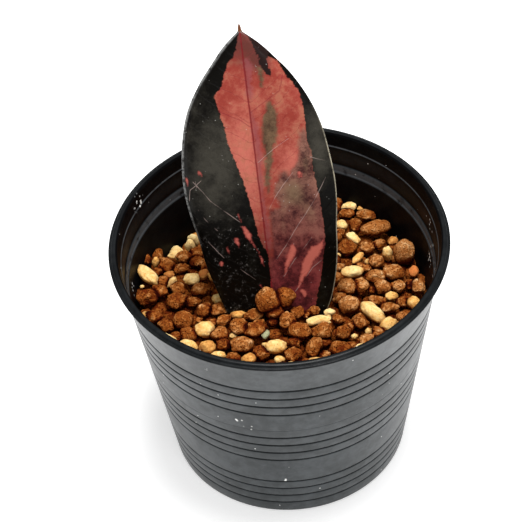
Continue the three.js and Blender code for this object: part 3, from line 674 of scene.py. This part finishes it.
def inside(spots, outlines):
    """Millimetres that each spot lies inside the nearest of some outlines, and negative outside them. It
    is inside where a level line from it crosses the outline an odd number of times."""
    found = np.full(len(spots), -99.0)
    for outline in outlines:
        starts = smoothed(outline)
        ends = np.roll(starts, -1, 0)
        x, y = spots.T[..., None]
        spans = (starts[:, 1] > y) != (ends[:, 1] > y)
        rise = np.where(spans, ends[:, 1] - starts[:, 1], 1)
        crossing = starts[:, 0] + (y - starts[:, 1]) / rise * (ends[:, 0] - starts[:, 0])
        odd = np.sum(spans & (x < crossing), axis=1) % 2 == 1
        distance, _ = side_offsets(spots, starts, ends)
        found = np.maximum(found, np.where(odd, distance, -distance))
    return np.maximum(found, -3)


def soft(spots, centres):
    """How strong some soft spots are at each place, each one a bell in both directions."""
    u, v, wide, tall, rise = np.array(centres).T
    return np.sum(rise * np.exp(-((spots[:, :1] - u) / wide) ** 2 - ((spots[:, 1:] - v) / tall) ** 2), axis=1)


def beside(spots, lines):
    """How far each spot is off the nearest of some drawn lines, to one side or the other, and how near
    it is, from 1 on the line to 0 at the lines' reach."""
    starts, ends = (np.concatenate([np.array(line, float)[part] for line in lines])
                    for part in (slice(-1), slice(1, None)))
    distance, left = side_offsets(spots, starts, ends)
    return np.clip(left, -LINE_REACH, LINE_REACH), np.clip(1 - distance / LINE_REACH, 0, 1)


leaf_points, across, along, facing = leaf_surface()
spots = np.stack([across, along], axis=-1)
leaf_fields = {
    "across": across, "along": along, "facing": facing,
    "margin": leaf_half(along, across < 0) - np.abs(across),
    **{name: inside(spots, outlines) for name, outlines in MARKINGS.items()},
    **{name: soft(spots, centres) for name, centres in SOFT_SPOTS.items()},
}
for name, lines in DRAWN_LINES.items():
    leaf_fields[name + "_off"], leaf_fields[name + "_near"] = beside(spots, lines)
leaf_faces = grid_faces(LEAF_ROWS, len(leaf_ring()[0]))
leaf = make_piece("leaf_blade", [(leaf_points, leaf_faces)], leaf_fields, sharp=80.0)

skin, shader, place = new_material("waxy_leaf_skin", {"IOR": 1.45, "Specular IOR Level": 0.1})

field = place.field
across, along, margin = field("across"), field("along"), field("margin")
fine, small, broad = place.noise(2600, 3, 0.6), place.noise(800, 5, 0.65), place.noise(230, 4)
ragged = (small - 0.5) * 2.6 + (broad - 0.5) * 1.4
mottle = (broad - 0.5) * 1.6 + (small - 0.5) * 0.9 + (fine - 0.5) * 0.5
specks = 1 - place.cells(640).step(0.04, 0.1)

# The dark skin: near-black green, paler in soft places as a painted sheen, with light grey flecks low on
# the left.
# Painted sheen: the pale soft spots lighten the dark skin at the left middle and along the right margin.
dark = (field("pale") + mottle * 0.8).step(0.0, 1.2).mix(rgb(9, 7, 5), rgb(62, 59, 52))
low_left = (1 - along.step(14.0, 34.0)) * (0 - across).step(2.0, 6.0)
light_grey_flecks = (small + (fine - 0.5) * 0.6).step(0.58, 0.72) * low_left
dark = (light_grey_flecks * 0.55).mix(dark, rgb(104, 100, 98))

# The pink flesh, with side veins that leave the midrib at a third of a right angle.
flesh = (field("bright") + mottle * 1.1).step(-0.2, 1.2).mix(rgb(142, 56, 46), rgb(196, 108, 93))
flesh = ((small + broad - 1.0) * 1.3 + 0.5).step(0.35, 1.0).mix(flesh, rgb(164, 98, 76))
flesh = (field("dusky") + mottle * 0.4).step(0.1, 1.1).mix(flesh, rgb(96, 50, 44))
side = abs(across)
rank = (along - side * 0.65 - side * side * 0.012) / 5.6 + (broad - 0.5) * 0.5
side_vein = 1 - abs(rank.math("FRACT", rank) - 0.5).step(0.0, 0.035)
net = 1 - place.cells(430, "DISTANCE_TO_EDGE").step(0.0, 0.07)
flesh = (side_vein * 0.3 + net * 0.14).mix(flesh, rgb(130, 44, 46))
sector = (field("pink") + ragged * 0.6).step(-0.14, 0.16)
colour = sector.mix(dark, flesh)

# What lies in the pink: purple beside the midrib, olive patches, the mauve base and the dark tongue.
colour = ((field("purple") + ragged).step(-0.7, 0.6) * 0.6).mix(colour, rgb(142, 74, 78))
olive = (field("olive") + ragged * 0.9).step(-0.6, 0.7)
colour = olive.mix(colour, (mottle + 0.5).step(0.0, 1.0).mix(rgb(62, 42, 32), rgb(120, 94, 70)))
mauve = (field("mauve") + (broad - 0.5) * 2.2 + (small - 0.5) * 1.6).step(-0.8, 0.8) * sector
height, blotch = (along + (broad - 0.5) * 26).step(6.0, 42.0), (mottle * 1.3 + 0.5).step(0.0, 1.0)
low, high = blotch.mix(rgb(52, 20, 24), rgb(128, 52, 54)), blotch.mix(rgb(52, 28, 28), rgb(140, 96, 82))
colour = (mauve * 0.96).mix(colour, height.mix(low, high))
colour = ((field("mossy") + mottle * 0.6).step(0.3, 1.3) * sector).mix(colour, rgb(118, 98, 74))
colour = (field("tongue") + ragged * 0.9).step(-0.2, 0.2).mix(colour, rgb(34, 22, 20))
fleck = field("fleck") + (small - 0.5) * 1.6 + (broad - 0.5) * 0.4
colour = fleck.step(-0.05, 0.5).mix(colour, fleck.step(0.0, 0.9).mix(rgb(130, 54, 52), rgb(196, 104, 90)))


def drawn(name, waver, low, high):
    """How strongly a drawn line shows: full within low millimetres, gone at high, fading at its ends."""
    off = abs(field(name + "_off") + (small - 0.5) * waver)
    return (1 - off.step(low, high)) * field(name + "_near").step(0.0, 0.3)


# Lines: the sunken midrib, dark veins, light scratches, a thin painted highlight along the right edge and a
# painted reflection along the left one.
midrib = 1 - abs(across + (broad - 0.5) * 0.3).step(0.06, 0.34)
colour = (midrib * sector * 0.85).mix(colour, rgb(112, 24, 30))
colour = (drawn("vein", 0.4, 0.03, 0.24) * 0.5).mix(colour, rgb(120, 34, 44))
scratch = drawn("scratch", 0.2, 0.0, 0.14) * broad.step(0.35, 0.6)
colour = (scratch * 0.5).mix(colour, rgb(196, 172, 164))
right = across.step(0.0, 2.0)
# Painted highlight: a thin pale line along the lower right edge.
right_edge_highlight = (1 - margin.step(0.08, 0.4)) * right * (1 - along.step(40.0, 58.0)) * small.step(0.3, 0.55)
colour = (right_edge_highlight * 0.8).mix(colour, rgb(186, 176, 152))
# Painted reflection: a grey strip along the shiny left edge.
left_edge_reflection = (1 - margin.step(0.25, 0.8)) * (1 - right) * along.step(18.0, 30.0) * small.step(0.3, 0.6)
colour = (left_edge_reflection * 0.7).mix(colour, rgb(150, 150, 148))
colour = (specks * broad.step(0.45, 0.6) * 0.7).mix(colour, rgb(190, 188, 182))
colour = (along + (small - 0.5)).step(77.3, 78.0).mix(colour, rgb(112, 68, 42))
back = 1 - field("facing").step(-0.6, 0.4)
colour = (back * 0.4).mix(colour, rgb(74, 60, 50))
colour.into(shader.inputs["Base Color"])
(small * 0.22 + back * 0.16 + 0.2).into(shader.inputs["Roughness"])
(fine * 0.3 + small - side_vein * 0.6).bump(0.00007).into(shader.inputs["Normal"])
leaf.data.materials.append(skin)
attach(leaf, "root")
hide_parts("leaf")


# The fired-clay granules: porous brown lumps of 3 to 9 mm that lie on the mix and fill it. Each has painted
# shade where it touches another, so the places of the pumice are listed here too.

# Each row is a granule that shows: where it shows on the mix in x and y, half its length and width, how far
# it stands up, the turn of its length, its tone from dark to light, and half its height where it is known.
CLAY_GRANULES = [
    (-37, 15.5, 1.8, 1.6, 0, 0, 0.4), (-31.3, 12.5, 2.2, 2.1, 0, 0, 0.4), (-27, 11, 2.1, 1.5, 0, 0, 0.4),
    (-26, 16.5, 2.3, 2.1, 0.8, 0, 0.5), (-23.3, 18, 2.2, 1.9, 1.4, 60, 0.5),
    (-22.8, 13.5, 2, 1.8, 0.4, 0, 0.4), (-36.3, -0.4, 2.8, 2.4, 0.2, 0, 0.1),
    (-33, 1.5, 2.2, 2, 0.2, 0, 0.3), (-32, 5.2, 2, 1.8, 0, 0, 0.3), (-28, 2.4, 2.6, 1.8, 0.2, -50, 0.4),
    (-22, 1.8, 2.8, 1.8, 0.3, 10, 0.7), (-28.6, -2.6, 2.9, 2.5, 0.2, 0, 0.3),
    (-24, -3, 2.2, 1.6, 0, 0, 0.4), (-21, -6.5, 2.2, 2, 0.2, 0, 0.4), (-17, -7, 2.2, 2, 0.2, 0, 0.5),
    (-26.7, -10, 2.8, 2.7, 0.4, 0, 0.4, 2.5), (-34.3, -8, 2.6, 1.9, 0, -30, 0.3),
    (-31.3, -11.6, 2.4, 1.8, 0, -45, 0.3), (-15.5, -11, 2.1, 1.5, 0.4, 30, 0.5),
    (-17, -16.5, 2.5, 2.3, 0.2, 0, 0.5), (-16, -20.5, 2, 1.9, 0, 0, 0.3), (-13.5, -26, 2.3, 2, 0, 0, 0.3),
    (-4.6, -8.4, 2.9, 2.7, 2.4, 0, 0.6, 2.6), (0.4, -6.6, 2.8, 2.5, 3.8, 0, 0.6, 2.6),
    (-2.2, -10.8, 2.6, 2.4, 1.2, 0, 0.55, 2.4), (-7.6, -11.4, 2.8, 1.7, 0.2, 0, 0.5),
    (-11.6, -14.8, 2.9, 2.6, 0.4, 0, 0.5), (-7.4, -16.2, 3.1, 2.4, 0.4, 25, 0.5),
    (-11.4, -20.8, 3.1, 2.5, 0.4, 0, 0.6), (1, -14.6, 2.5, 2.3, 0.8, 0, 0.6),
    (4, -17.6, 2.9, 2.6, 0.8, 0, 0.7), (3.6, -11.2, 1.9, 1.8, 0.4, 0, 0.4), (8, -10, 1.6, 1.4, 0.3, 0, 0.5),
    (10, -17.4, 2.9, 2.5, 0.4, 0, 0.5), (7.5, -23.2, 2.9, 2.3, 0.8, 70, 0.5),
    (-6.3, -24.2, 2.1, 2, 0.2, 0, 0.3), (2, -25.6, 2.3, 2.1, 0.2, 0, 0.4), (14, -23.6, 2.6, 2, 0, 0, 0.3),
    (14.4, -13, 1.7, 1.5, 0, 0, 0.3), (15.2, -17.6, 2.1, 1.9, 0.2, 0, 0.4), (25, 29, 2.9, 1.9, 0, 0, 0.4),
    (19.6, 30, 2.2, 1.6, -0.4, 0, 0.1), (21.5, 25, 1.9, 1.8, 0, 0, 0.3),
    (27, 23.6, 4.4, 2.3, 0.6, 8, 0.5, 2.1), (24.3, 15.6, 1.9, 1.8, 0, 0, 0.4),
    (27.6, 16.6, 2, 1.5, 0, 0, 0.3), (18.6, 15.6, 2.9, 2.6, 0.2, 0, 0.1), (26.2, 9.8, 2.2, 2, 0.3, 0, 0.7),
    (34, 12.6, 3.1, 3, 1, 80, 0.6, 4.3), (25.2, 4, 2.9, 1.8, 0, 0, 0.4), (30.6, 5, 3, 2.1, 0.2, 0, 0.5),
    (27, -0.3, 2.3, 2.2, 0.6, 0, 0.5), (31.3, -0.6, 2.1, 2, 0.2, 0, 0.4),
    (17.6, 0, 2.7, 2.5, 0.6, 0, 0.6, 2.4), (21.2, 0, 2.4, 2.2, 0.5, 90, 0.6),
    (17.5, -7.2, 2.9, 2.5, 0.8, 0, 0.8, 2.4), (25.2, -5.6, 2.5, 1.5, 0, -20, 0.4),
    (28, -8.6, 2.3, 1.8, 0, 0, 0.3), (20.2, -13.4, 2.4, 2, 0.6, 80, 0.4),
    (36.6, -0.6, 2.3, 1.9, 0.6, 80, 0.6), (21.3, -20.4, 2.4, 1.7, 0, 15, 0.5),
    (24.4, -18, 2, 1.8, 0, 0, 0.4), (31.8, -12.5, 2, 1.8, -0.4, 0, 0.3), (-33.5, 10, 1.3, 1.2, 0, 0, 0.3),
    (-28.8, -16, 1.6, 1.4, 0, 20, 0.3), (-18.5, -11.5, 1.3, 1.1, 0, 0, 0.4),
    (-22.5, -10.5, 1.1, 1, 0, 0, 0.3), (5.8, -12, 1.2, 1.1, 0, 0, 0.3), (2.5, -21.5, 1.7, 1.5, 0, 0, 0.3),
    (5, -28, 2.5, 1.3, 0, 8, 0.5), (-1.5, -29, 2.2, 1.4, 0, 0, 0.5), (-13.5, -28, 2.2, 1.6, 0, -10, 0.3),
    (-3, -15, 1.4, 1.2, 0, 0, 0), (10.5, -21.5, 1.4, 1.2, 0, 0, 0.3), (10, -26, 1.6, 1.4, 0, 0, 0.9),
    (22.5, 8, 2.2, 1.1, 0, -30, 0.6), (15.5, -4.5, 2, 1.8, 0, 0, 0.5), (31.8, -6.5, 1.6, 1.5, 0, 0, 0.3),
    (34.5, 0, 1.5, 1.4, 0, 0, 0.1), (17, -16, 1.9, 1.5, -0.4, 0, 0.3), (17, -22.5, 1.7, 1.5, 0, 0, 0.4),
    (24, -1.5, 1.2, 1.1, 0, 0, 0.3), (16.8, 22, 1.6, 1.5, 0, 0, 0.4), (16.2, 8, 1.4, 1.2, 0, 0, 0.8),
]

# Two of the clay's rows as they are drawn: the lumps heaped against the leaf, larger than in the solids.
HEAPED_CLAY = {22: (-3.8, -6.1, 3.5, 3.4, 4.1, 0, 0.5, 3.3), 23: (0.3, -4.7, 3, 2.9, 4.7, 0, 0.45, 3)}
PUMICE_GRANULES = [
    (-36.4, 8.4, 4.2, 2, 0.6, -55, 0.4), (-34, 14, 1.1, 1, 0.8, 0, 0.5, 2.2),
    (-29, 18.5, 1.9, 1.3, 0.4, 20, 0.3), (-24.6, 22, 1.5, 1.3, 1.6, 0, 0.3, 2.6),
    (-30.3, 8, 1.4, 1.3, 0.4, 0, 0.8), (-29.5, 4.8, 2, 1.1, 0.6, 70, 0.4),
    (-24.3, 6, 2.2, 1.8, 0.8, 0, 0.3), (-21, 7.6, 1.8, 1.4, 0.6, 60, 0.8),
    (-18.6, 6.5, 2, 1.1, 0.6, -55, 0.6), (-17.2, -2.8, 2.2, 1.4, 0.6, -50, 0.4),
    (-36.4, -7.6, 1.5, 1.3, 0, 0, 0.5), (-20.8, -14, 2.7, 2.3, 0.8, 0, 0.45),
    (-25.3, -19.4, 2.6, 1.6, 0.6, -25, 0.4), (-20.3, -20.5, 2.1, 2, 0.6, 0, 0.6),
    (-17.5, -24, 2.3, 1.4, 0.2, 0, 0.45), (-12, -10, 2.2, 1.1, 0, 0, 0.6),
    (-9.5, -25.8, 1.8, 1.5, 0.6, 0, 0.6), (-2.6, -22.8, 2.9, 2, 0.8, 8, 0.4),
    (-1.8, -27, 1.5, 1.3, 0.4, 0, 0.4), (-4.9, -18.6, 1.5, 1, 0.2, 70, -0.3),
    (9, -14, 3.3, 1.5, 0.8, 8, 0.35), (12.2, -10.4, 1.6, 1.1, 0.6, 0, 0.3),
    (13.5, -27, 2.3, 1.1, 0.2, 12, 0.5), (20.5, 33, 2.2, 1.5, 0.2, 15, 0.35), (24, 32, 1.3, 1.2, 0, 0, 0.6),
    (17.9, 25.4, 1.8, 1.5, 0.4, -40, 0.35), (20.6, 19.6, 2.3, 1.4, 0.6, -45, 0.35),
    (21.2, 11.3, 2.4, 1, 0.6, 50, 0.5), (29.5, 12.4, 1.4, 1.4, 0.8, 0, 0.4, 2.4),
    (19.4, 6, 3.1, 1.9, 0.8, 0, 0.4), (31.4, 17.6, 1.5, 1.4, 0.4, 0, 0.7),
    (36, 5.2, 1.8, 1.4, 0.8, 90, 0.9), (29.3, -4.2, 1.8, 1.2, 0.6, 0, 0.5),
    (34.8, -6.8, 1.8, 1.7, 0.4, 0, 0.5), (23.5, -10, 4.5, 2.1, 0.9, -52, 0.4),
    (27.4, -14.8, 2.4, 1.9, 0.6, 30, 0.45), (22.3, -17.2, 1.2, 1.1, 0.3, 0, 0.35),
    (-20.5, 10.5, 1.3, 0.6, 0, 0, 0.4), (-37.7, 3.8, 0.6, 0.5, 0, 0, 0.4),
    (-13.5, -17.5, 1, 0.8, 0.6, 0, 0.35), (-5.3, -22, 0.9, 0.8, 0, 0, 0.4),
    (11.8, -12, 0.7, 0.6, 0.6, 0, 0.4), (16, 13, 0.8, 0.7, 0.6, 0, 0.4), (23.8, 9.8, 0.9, 0.8, 0.6, 0, 0.4),
    (35.5, -9.5, 1.3, 0.7, 0.6, 40, 0.4), (18.2, -19, 0.9, 0.8, 0.4, 0, 0.4),
    (29.5, -15, 1.4, 0.9, 0.6, 30, 0.6), (-23.8, 24.2, 1.6, 1.4, 2, 0, 0.25, 2.8),
]
SIGHT_SLOPE = 0.92
GRANULE_LIFT = 0.3
GRANULE_FLATNESS = 0.85
GRANULE_SWELL = 0.99
GOLDEN_ANGLE = np.pi * (3 - np.sqrt(5))
GOLDEN_SHARE = 0.618
BALL_CUT = 0.92
CRISPNESS = 14.0
FARTHEST_FACET = 1.15
BROAD_KNOB, NARROW_KNOB = 4, 26
BROAD_DEPTH = 0.4
UNDERSIDE_SHADE = 0.45
UNDERSIDE_SHADE_FROM = 0.35
BLADE_CLEAR, BLADE_BEYOND = 0.1, 0.2
WALL_CLEAR = 0.15
CONTACT_GAP = 0.9


def seated(rows):
    """Where granules lie that are read off: nearer than the spot that each one shows on by its
    height over the mix. Gives their middles, half-sizes, turns and tones."""
    read = np.array([(*row, GRANULE_FLATNESS * row[3])[:8] for row in rows], float)
    x, y, long, wide, rise, turn, tone, tall = read.T
    lift = GRANULE_LIFT * wide + rise
    middles = np.stack([x, y - SIGHT_SLOPE * lift, mix_height(x, y) + lift], axis=-1)
    return middles, np.stack([long, wide, tall], axis=-1), np.radians(turn), tone


def lumps(middles, sizes, turns, seed, rows, columns, facets, nearest, knobs, depth):
    """Uneven lumps, each on its own grid of latitude and longitude, and how far each point is out or in, less
    on its underside. The materials paint low points darker: painted shade in the dents and underneath. A
    radius
    is that of a ball cut by seeded facets: one over the norm of the direction's reach to each. It is
    multiplied by 1 plus bell-shaped knobs and dents. A quarter of them are broad. The sum of the narrow ones
    is folded up below 0, which leaves sharp creases."""
    draw = np.random.default_rng(seed)
    count = len(middles)
    polar = np.linspace(0, np.pi, rows)[:, None]
    turn = 2 * np.pi * np.arange(columns)[None, :] / columns
    grid = [np.sin(polar) * np.cos(turn), np.sin(polar) * np.sin(turn), np.cos(polar) + 0 * turn]
    spin = np.linalg.qr(draw.normal(size=(count, 3, 3)))[0]
    away = np.stack(grid, axis=-1).reshape(-1, 3) @ spin
    sides, knob = draw.normal(size=(count, facets, 3)), draw.normal(size=(count, knobs, 3))
    sides, knob = (ways / np.linalg.norm(ways, axis=-1, keepdims=True) for ways in (sides, knob))
    offsets = draw.uniform(nearest, FARTHEST_FACET, size=(count, 1, facets))
    reach = np.maximum(away @ np.swapaxes(sides, 1, 2), 0) / offsets
    radius = (BALL_CUT ** CRISPNESS + np.sum(reach ** CRISPNESS, axis=-1)) ** (-1 / CRISPNESS)
    broad = np.arange(knobs) < knobs / 4
    height = draw.uniform(-1, 1, size=(count, 1, knobs)) * depth * np.where(broad, BROAD_DEPTH, 1)
    bells = height * np.exp(np.where(broad, BROAD_KNOB, NARROW_KNOB) * (away @ np.swapaxes(knob, 1, 2) - 1))
    relief = bells[..., broad].sum(axis=-1) + np.abs(bells[..., ~broad].sum(axis=-1))
    relief = relief - relief.mean(axis=1, keepdims=True)
    radius = radius / radius.mean(axis=1, keepdims=True) * (1 + relief)
    shape = away * GRANULE_SWELL * radius[..., None] * sizes[:, None, :]
    # Painted shade: the underside is given lower relief, which the materials paint darker.
    relief = relief + UNDERSIDE_SHADE * np.minimum(radius * away[..., 2] - UNDERSIDE_SHADE_FROM, 0)
    cos, sin = np.cos(turns)[:, None], np.sin(turns)[:, None]
    x = shape[..., 0] * cos - shape[..., 1] * sin
    y = shape[..., 0] * sin + shape[..., 1] * cos
    points = np.stack([x, y, shape[..., 2]], axis=-1) + middles[:, None, :]
    faces = grid_faces(rows, columns) + np.arange(count)[:, None, None] * rows * columns
    return pressed(points, middles).reshape(-1, 3), faces.reshape(-1, 4), relief.ravel()


def pressed(points, middles):
    """Lumps flattened where they would run into the leaf or the pot's wall: a point past either is moved
    back square to the blade, or in towards the pot's axis."""
    way = points - LEAF_FOOT
    across, station, out = way @ leaf_across, way @ leaf_along, way @ leaf_face
    half = leaf_half(station, across < 0)
    share = np.clip(across / half, -1, 1)
    sheet = leaf_lift(share, half, station)
    clear = 0.5 * leaf_thickness(share, station) + BLADE_CLEAR
    front = ((middles - LEAF_FOOT) @ leaf_face > 0)[:, None]
    wanted = np.where(front, np.maximum(out, sheet + clear), np.minimum(out, sheet - clear))
    over = (np.abs(across) < half + BLADE_BEYOND) & (station > STALK_END)
    points = points + np.where(over, wanted - out, 0)[..., None] * leaf_face
    reach = np.hypot(points[..., 0], points[..., 1])
    limit = inner_radius(points[..., 2]) - WALL_CLEAR
    points[..., :2] *= np.minimum(limit / np.maximum(reach, 1e-6), 1)[..., None]
    return points


def crowded(points, middles):
    """How near each point of some lumps is to a granule that shows, from 1 where they touch to 0 at a gap.
    A granule's level is the way from its middle in half-sizes: 1 on its surface, more outside."""
    found = np.zeros(points.shape[:2])
    for middle, size, turn in zip(*shown_granules[:3]):
        x, y, z = np.moveaxis(points - middle, -1, 0)
        long, wide = x * np.cos(turn) + y * np.sin(turn), y * np.cos(turn) - x * np.sin(turn)
        level = np.linalg.norm(np.stack([long, wide, z], axis=-1) / size, axis=-1)
        other = np.linalg.norm(middles - middle, axis=1)[:, None] > 0.01
        found = np.maximum(found, other * (1 - (level - 1) * size.mean() / CONTACT_GAP))
    return np.clip(found, 0, 1)


def granule_piece(name, groups, material):
    """One piece from groups of lumps, each with its middles, half-sizes, turns, tones, seed and form.
    A point carries its lump's tone, how far it is out or in, and how near another granule is. The materials
    turn the last two into painted shade."""
    patches, fields = [], {"tone": [], "relief": [], "crowd": []}
    for middles, sizes, turns, tones, seed, form in groups:
        points, faces, relief = lumps(middles, sizes, turns, seed, *form)
        each = points.reshape(len(middles), -1, 3)
        patches.append((points, faces))
        fields["tone"].append(np.repeat(tones, each.shape[1]))
        fields["relief"].append(relief)
        fields["crowd"].append(crowded(each, middles).ravel())
    fields = {field: np.concatenate(values) for field, values in fields.items()}
    piece = make_piece(name, patches, fields, sharp=75.0)
    piece.data.materials.append(material)
    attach(piece, "root")
    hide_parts("soil_mix")


def sunflower(count, reach, start):
    """Places in x and y, spread evenly over a disc: the radius grows as the root of the number, and each
    place is turned by the golden angle from the one before."""
    number = np.arange(count)
    radius, angle = reach * np.sqrt((number + 0.5) / count), (number + start) * GOLDEN_ANGLE
    return radius * np.cos(angle), radius * np.sin(angle)


# Rows and columns of a lump's grid, its number of facets and how near they cut, its knobs and their depth.
CLAY_FORM = (24, 34, 12, 0.76, 90, 0.17)
ROUND_FORM = (24, 34, 12, 0.87, 90, 0.09)
UNDER_FORM = (6, 8, 8, 0.8, 4, 0.15)
UNDER_SIZE = (2.53, 2.2, 1.87)
UNDER_COUNT = 300
UNDER_REACH = 38.5
UNDER_DEPTH = 2.6

clay_rows = [HEAPED_CLAY.get(number, row) for number, row in enumerate(CLAY_GRANULES)]
shown_granules = seated(clay_rows + PUMICE_GRANULES)

clay, shader, place = new_material("fired_clay", {"IOR": 1.45, "Specular IOR Level": 0.06})
# The contact field marks where granules touch: the materials darken it as painted shade.
tone, relief, crowd = place.field("tone"), place.field("relief"), place.field("crowd")
fine, small, broad = place.noise(3000, 2, 0.6), place.noise(1000, 2, 0.45), place.noise(350, 2)
pits = place.cells(1300).step(0.08, 0.3)
crease = 1 - abs(small - 0.5).step(0.0, 0.09)
# Painted light: the clay is painted lighter towards the right, from 5 to 30 mm right of the axis.
painted_light_right = place.axis("X").step(0.005, 0.03)
# Painted shade: darker in the dents and on the undersides of each lump, by its relief.
shade = tone * 0.42 + 0.35 + relief * 1.2 + (broad - 0.5) * 0.45 + (small - 0.5) * 0.4
# Painted shade also in the sunken creases and pits, and where granules touch.
shade = shade + (fine - 0.5) * 0.16 - crease * 0.14 - (1 - pits) * 0.42 - crowd * 0.65 + painted_light_right * 0.12
colour = shade.node("ShaderNodeValToRGB", {"stops": [
    (0.0, rgb(42, 4, 0)), (0.25, rgb(98, 36, 6)), (0.5, rgb(148, 82, 30)), (0.75, rgb(192, 130, 74)),
    (1.0, rgb(230, 184, 132)),
]}, {"Fac": shade}, "Color")
colour.into(shader.inputs["Base Color"])
(small * 0.3 + 0.7).into(shader.inputs["Roughness"])
(fine * 0.08 + small + pits * 0.4 - crease * 0.3).bump(0.0006).into(shader.inputs["Normal"])

# The clay under what shows, with its dark tones spread by the golden section, as painted shade in the gaps
# between the granules above.
x, y = sunflower(UNDER_COUNT, UNDER_REACH, 0.5)
under = np.arange(UNDER_COUNT)
under_middles = np.stack([x, y, fill_height(x, y) - UNDER_DEPTH], axis=-1)
under_sizes = np.tile(UNDER_SIZE, (UNDER_COUNT, 1))
under_tones = 0.2 * (under * GOLDEN_SHARE % 1)
granule_piece("clay_granules", [
    (*seated([row for row in clay_rows if len(row) == 7]), 41, CLAY_FORM),
    (*seated([row for row in clay_rows if len(row) == 8]), 46, ROUND_FORM),
    (under_middles, under_sizes, under * 2.4, under_tones, 42, UNDER_FORM),
], clay)


# The pumice granules: pale foamed stone, cream to yellow with a few orange ones and one greenish-white
# chip of another stone, rounder and smoother than the clay, with painted shade in dark brown where they
# touch another.
PUMICE_FORM = (22, 32, 8, 0.88, 70, 0.15)

pumice, shader, place = new_material("pale_pumice", {"IOR": 1.45, "Specular IOR Level": 0.1})
tone, relief, crowd = place.field("tone"), place.field("relief"), place.field("crowd")
fine, small, broad = place.noise(3600, 2, 0.6), place.noise(1200, 3, 0.5), place.noise(380, 2)
pits = place.cells(2300).step(0.05, 0.3)
# Painted shade: ochre in the dents, on the undersides and in the pits.
shade = tone + (small - 0.5) * 0.4 + (broad - 0.5) * 0.3 + (fine - 0.5) * 0.2 - relief * 0.8
shade = shade + (1 - pits) * 0.15
colour = shade.node("ShaderNodeValToRGB", {"stops": [
    (0.0, rgb(166, 168, 130)), (0.06, rgb(246, 224, 166)), (0.3, rgb(250, 214, 144)),
    (0.5, rgb(234, 176, 96)), (0.65, rgb(202, 138, 70)), (0.8, rgb(180, 112, 54)), (1.0, rgb(222, 128, 66)),
]}, {"Fac": shade}, "Color")
# Painted shade: dark brown where a pumice granule touches another.
(crowd * 0.7).mix(colour, rgb(96, 44, 14)).into(shader.inputs["Base Color"])
(small * 0.3 + 0.6).into(shader.inputs["Roughness"])
(small * 0.8 + fine * 0.3 + pits * 0.5).bump(0.0004).into(shader.inputs["Normal"])
granule_piece("pumice_granules", [(*seated(PUMICE_GRANULES), 43, PUMICE_FORM)], pumice)


# The granules that the leaf and the rim hide in the photo, clay with some pumice among it. They fill the
# rest of the surface, so that it is whole from every side.
MODULUS, MULTIPLIER, FIRST_STATE = 2147483647, 16807, 20117
FILL_TRIES = 900
FILL_REACH = 39.0
HIDDEN_SMALLEST, HIDDEN_SPREAD = 2.3, 0.8
HIDDEN_CLEAR = 0.9
HIDDEN_SINK = 0.6
HIDDEN_SHAPE = (1.1, 0.95, 0.85)
HIDDEN_FORM = (9, 12, 10, 0.78, 20, 0.2)

# How many rows of each table, from its first, the hidden granules keep clear of, here as in the solids.
SOLID_CLAY, SOLID_PUMICE = 63, 37


def hidden_granules(places):
    """Middles, half-sizes and turns of the granules that fill what the leaf and the rim hide: tries on a
    sunflower spiral, kept where there is room. The draws are those of the minimal standard generator."""
    state, placed, added = FIRST_STATE, list(places), []
    for x, y in zip(*sunflower(FILL_TRIES, FILL_REACH, 0)):
        state = state * MULTIPLIER % MODULUS
        size = HIDDEN_SMALLEST + HIDDEN_SPREAD * (state / MODULUS) ** 2
        if all(np.hypot(x - u, y - v) > HIDDEN_CLEAR * (size + other) for u, v, other in placed):
            state = state * MULTIPLIER % MODULUS
            placed.append((x, y, size))
            z = fill_height(x, y) + GRANULE_LIFT * size - HIDDEN_SINK
            added.append((x, y, z, *(share * size for share in HIDDEN_SHAPE), 2 * np.pi * state / MODULUS))
    return np.array(added)


middles, sizes, _, _ = seated(CLAY_GRANULES[:SOLID_CLAY] + PUMICE_GRANULES[:SOLID_PUMICE])
shown = np.column_stack([middles[:, :2], np.sqrt(sizes[:, 0] * sizes[:, 1])])
hidden = hidden_granules(shown.tolist())
number = np.arange(len(hidden))
for kind, material, chosen, low, seed in (
    ("clay", clay, number % 3 != 1, 0.2, 44),
    ("pumice", pumice, number % 3 == 1, 0.25, 45),
):
    rows = hidden[chosen]
    tones = low + 0.45 * (number[chosen] * GOLDEN_SHARE % 1)
    group = (rows[:, :3], rows[:, 3:6], rows[:, 6], tones, seed, HIDDEN_FORM)
    granule_piece(f"hidden_{kind}_granules", [group], material)
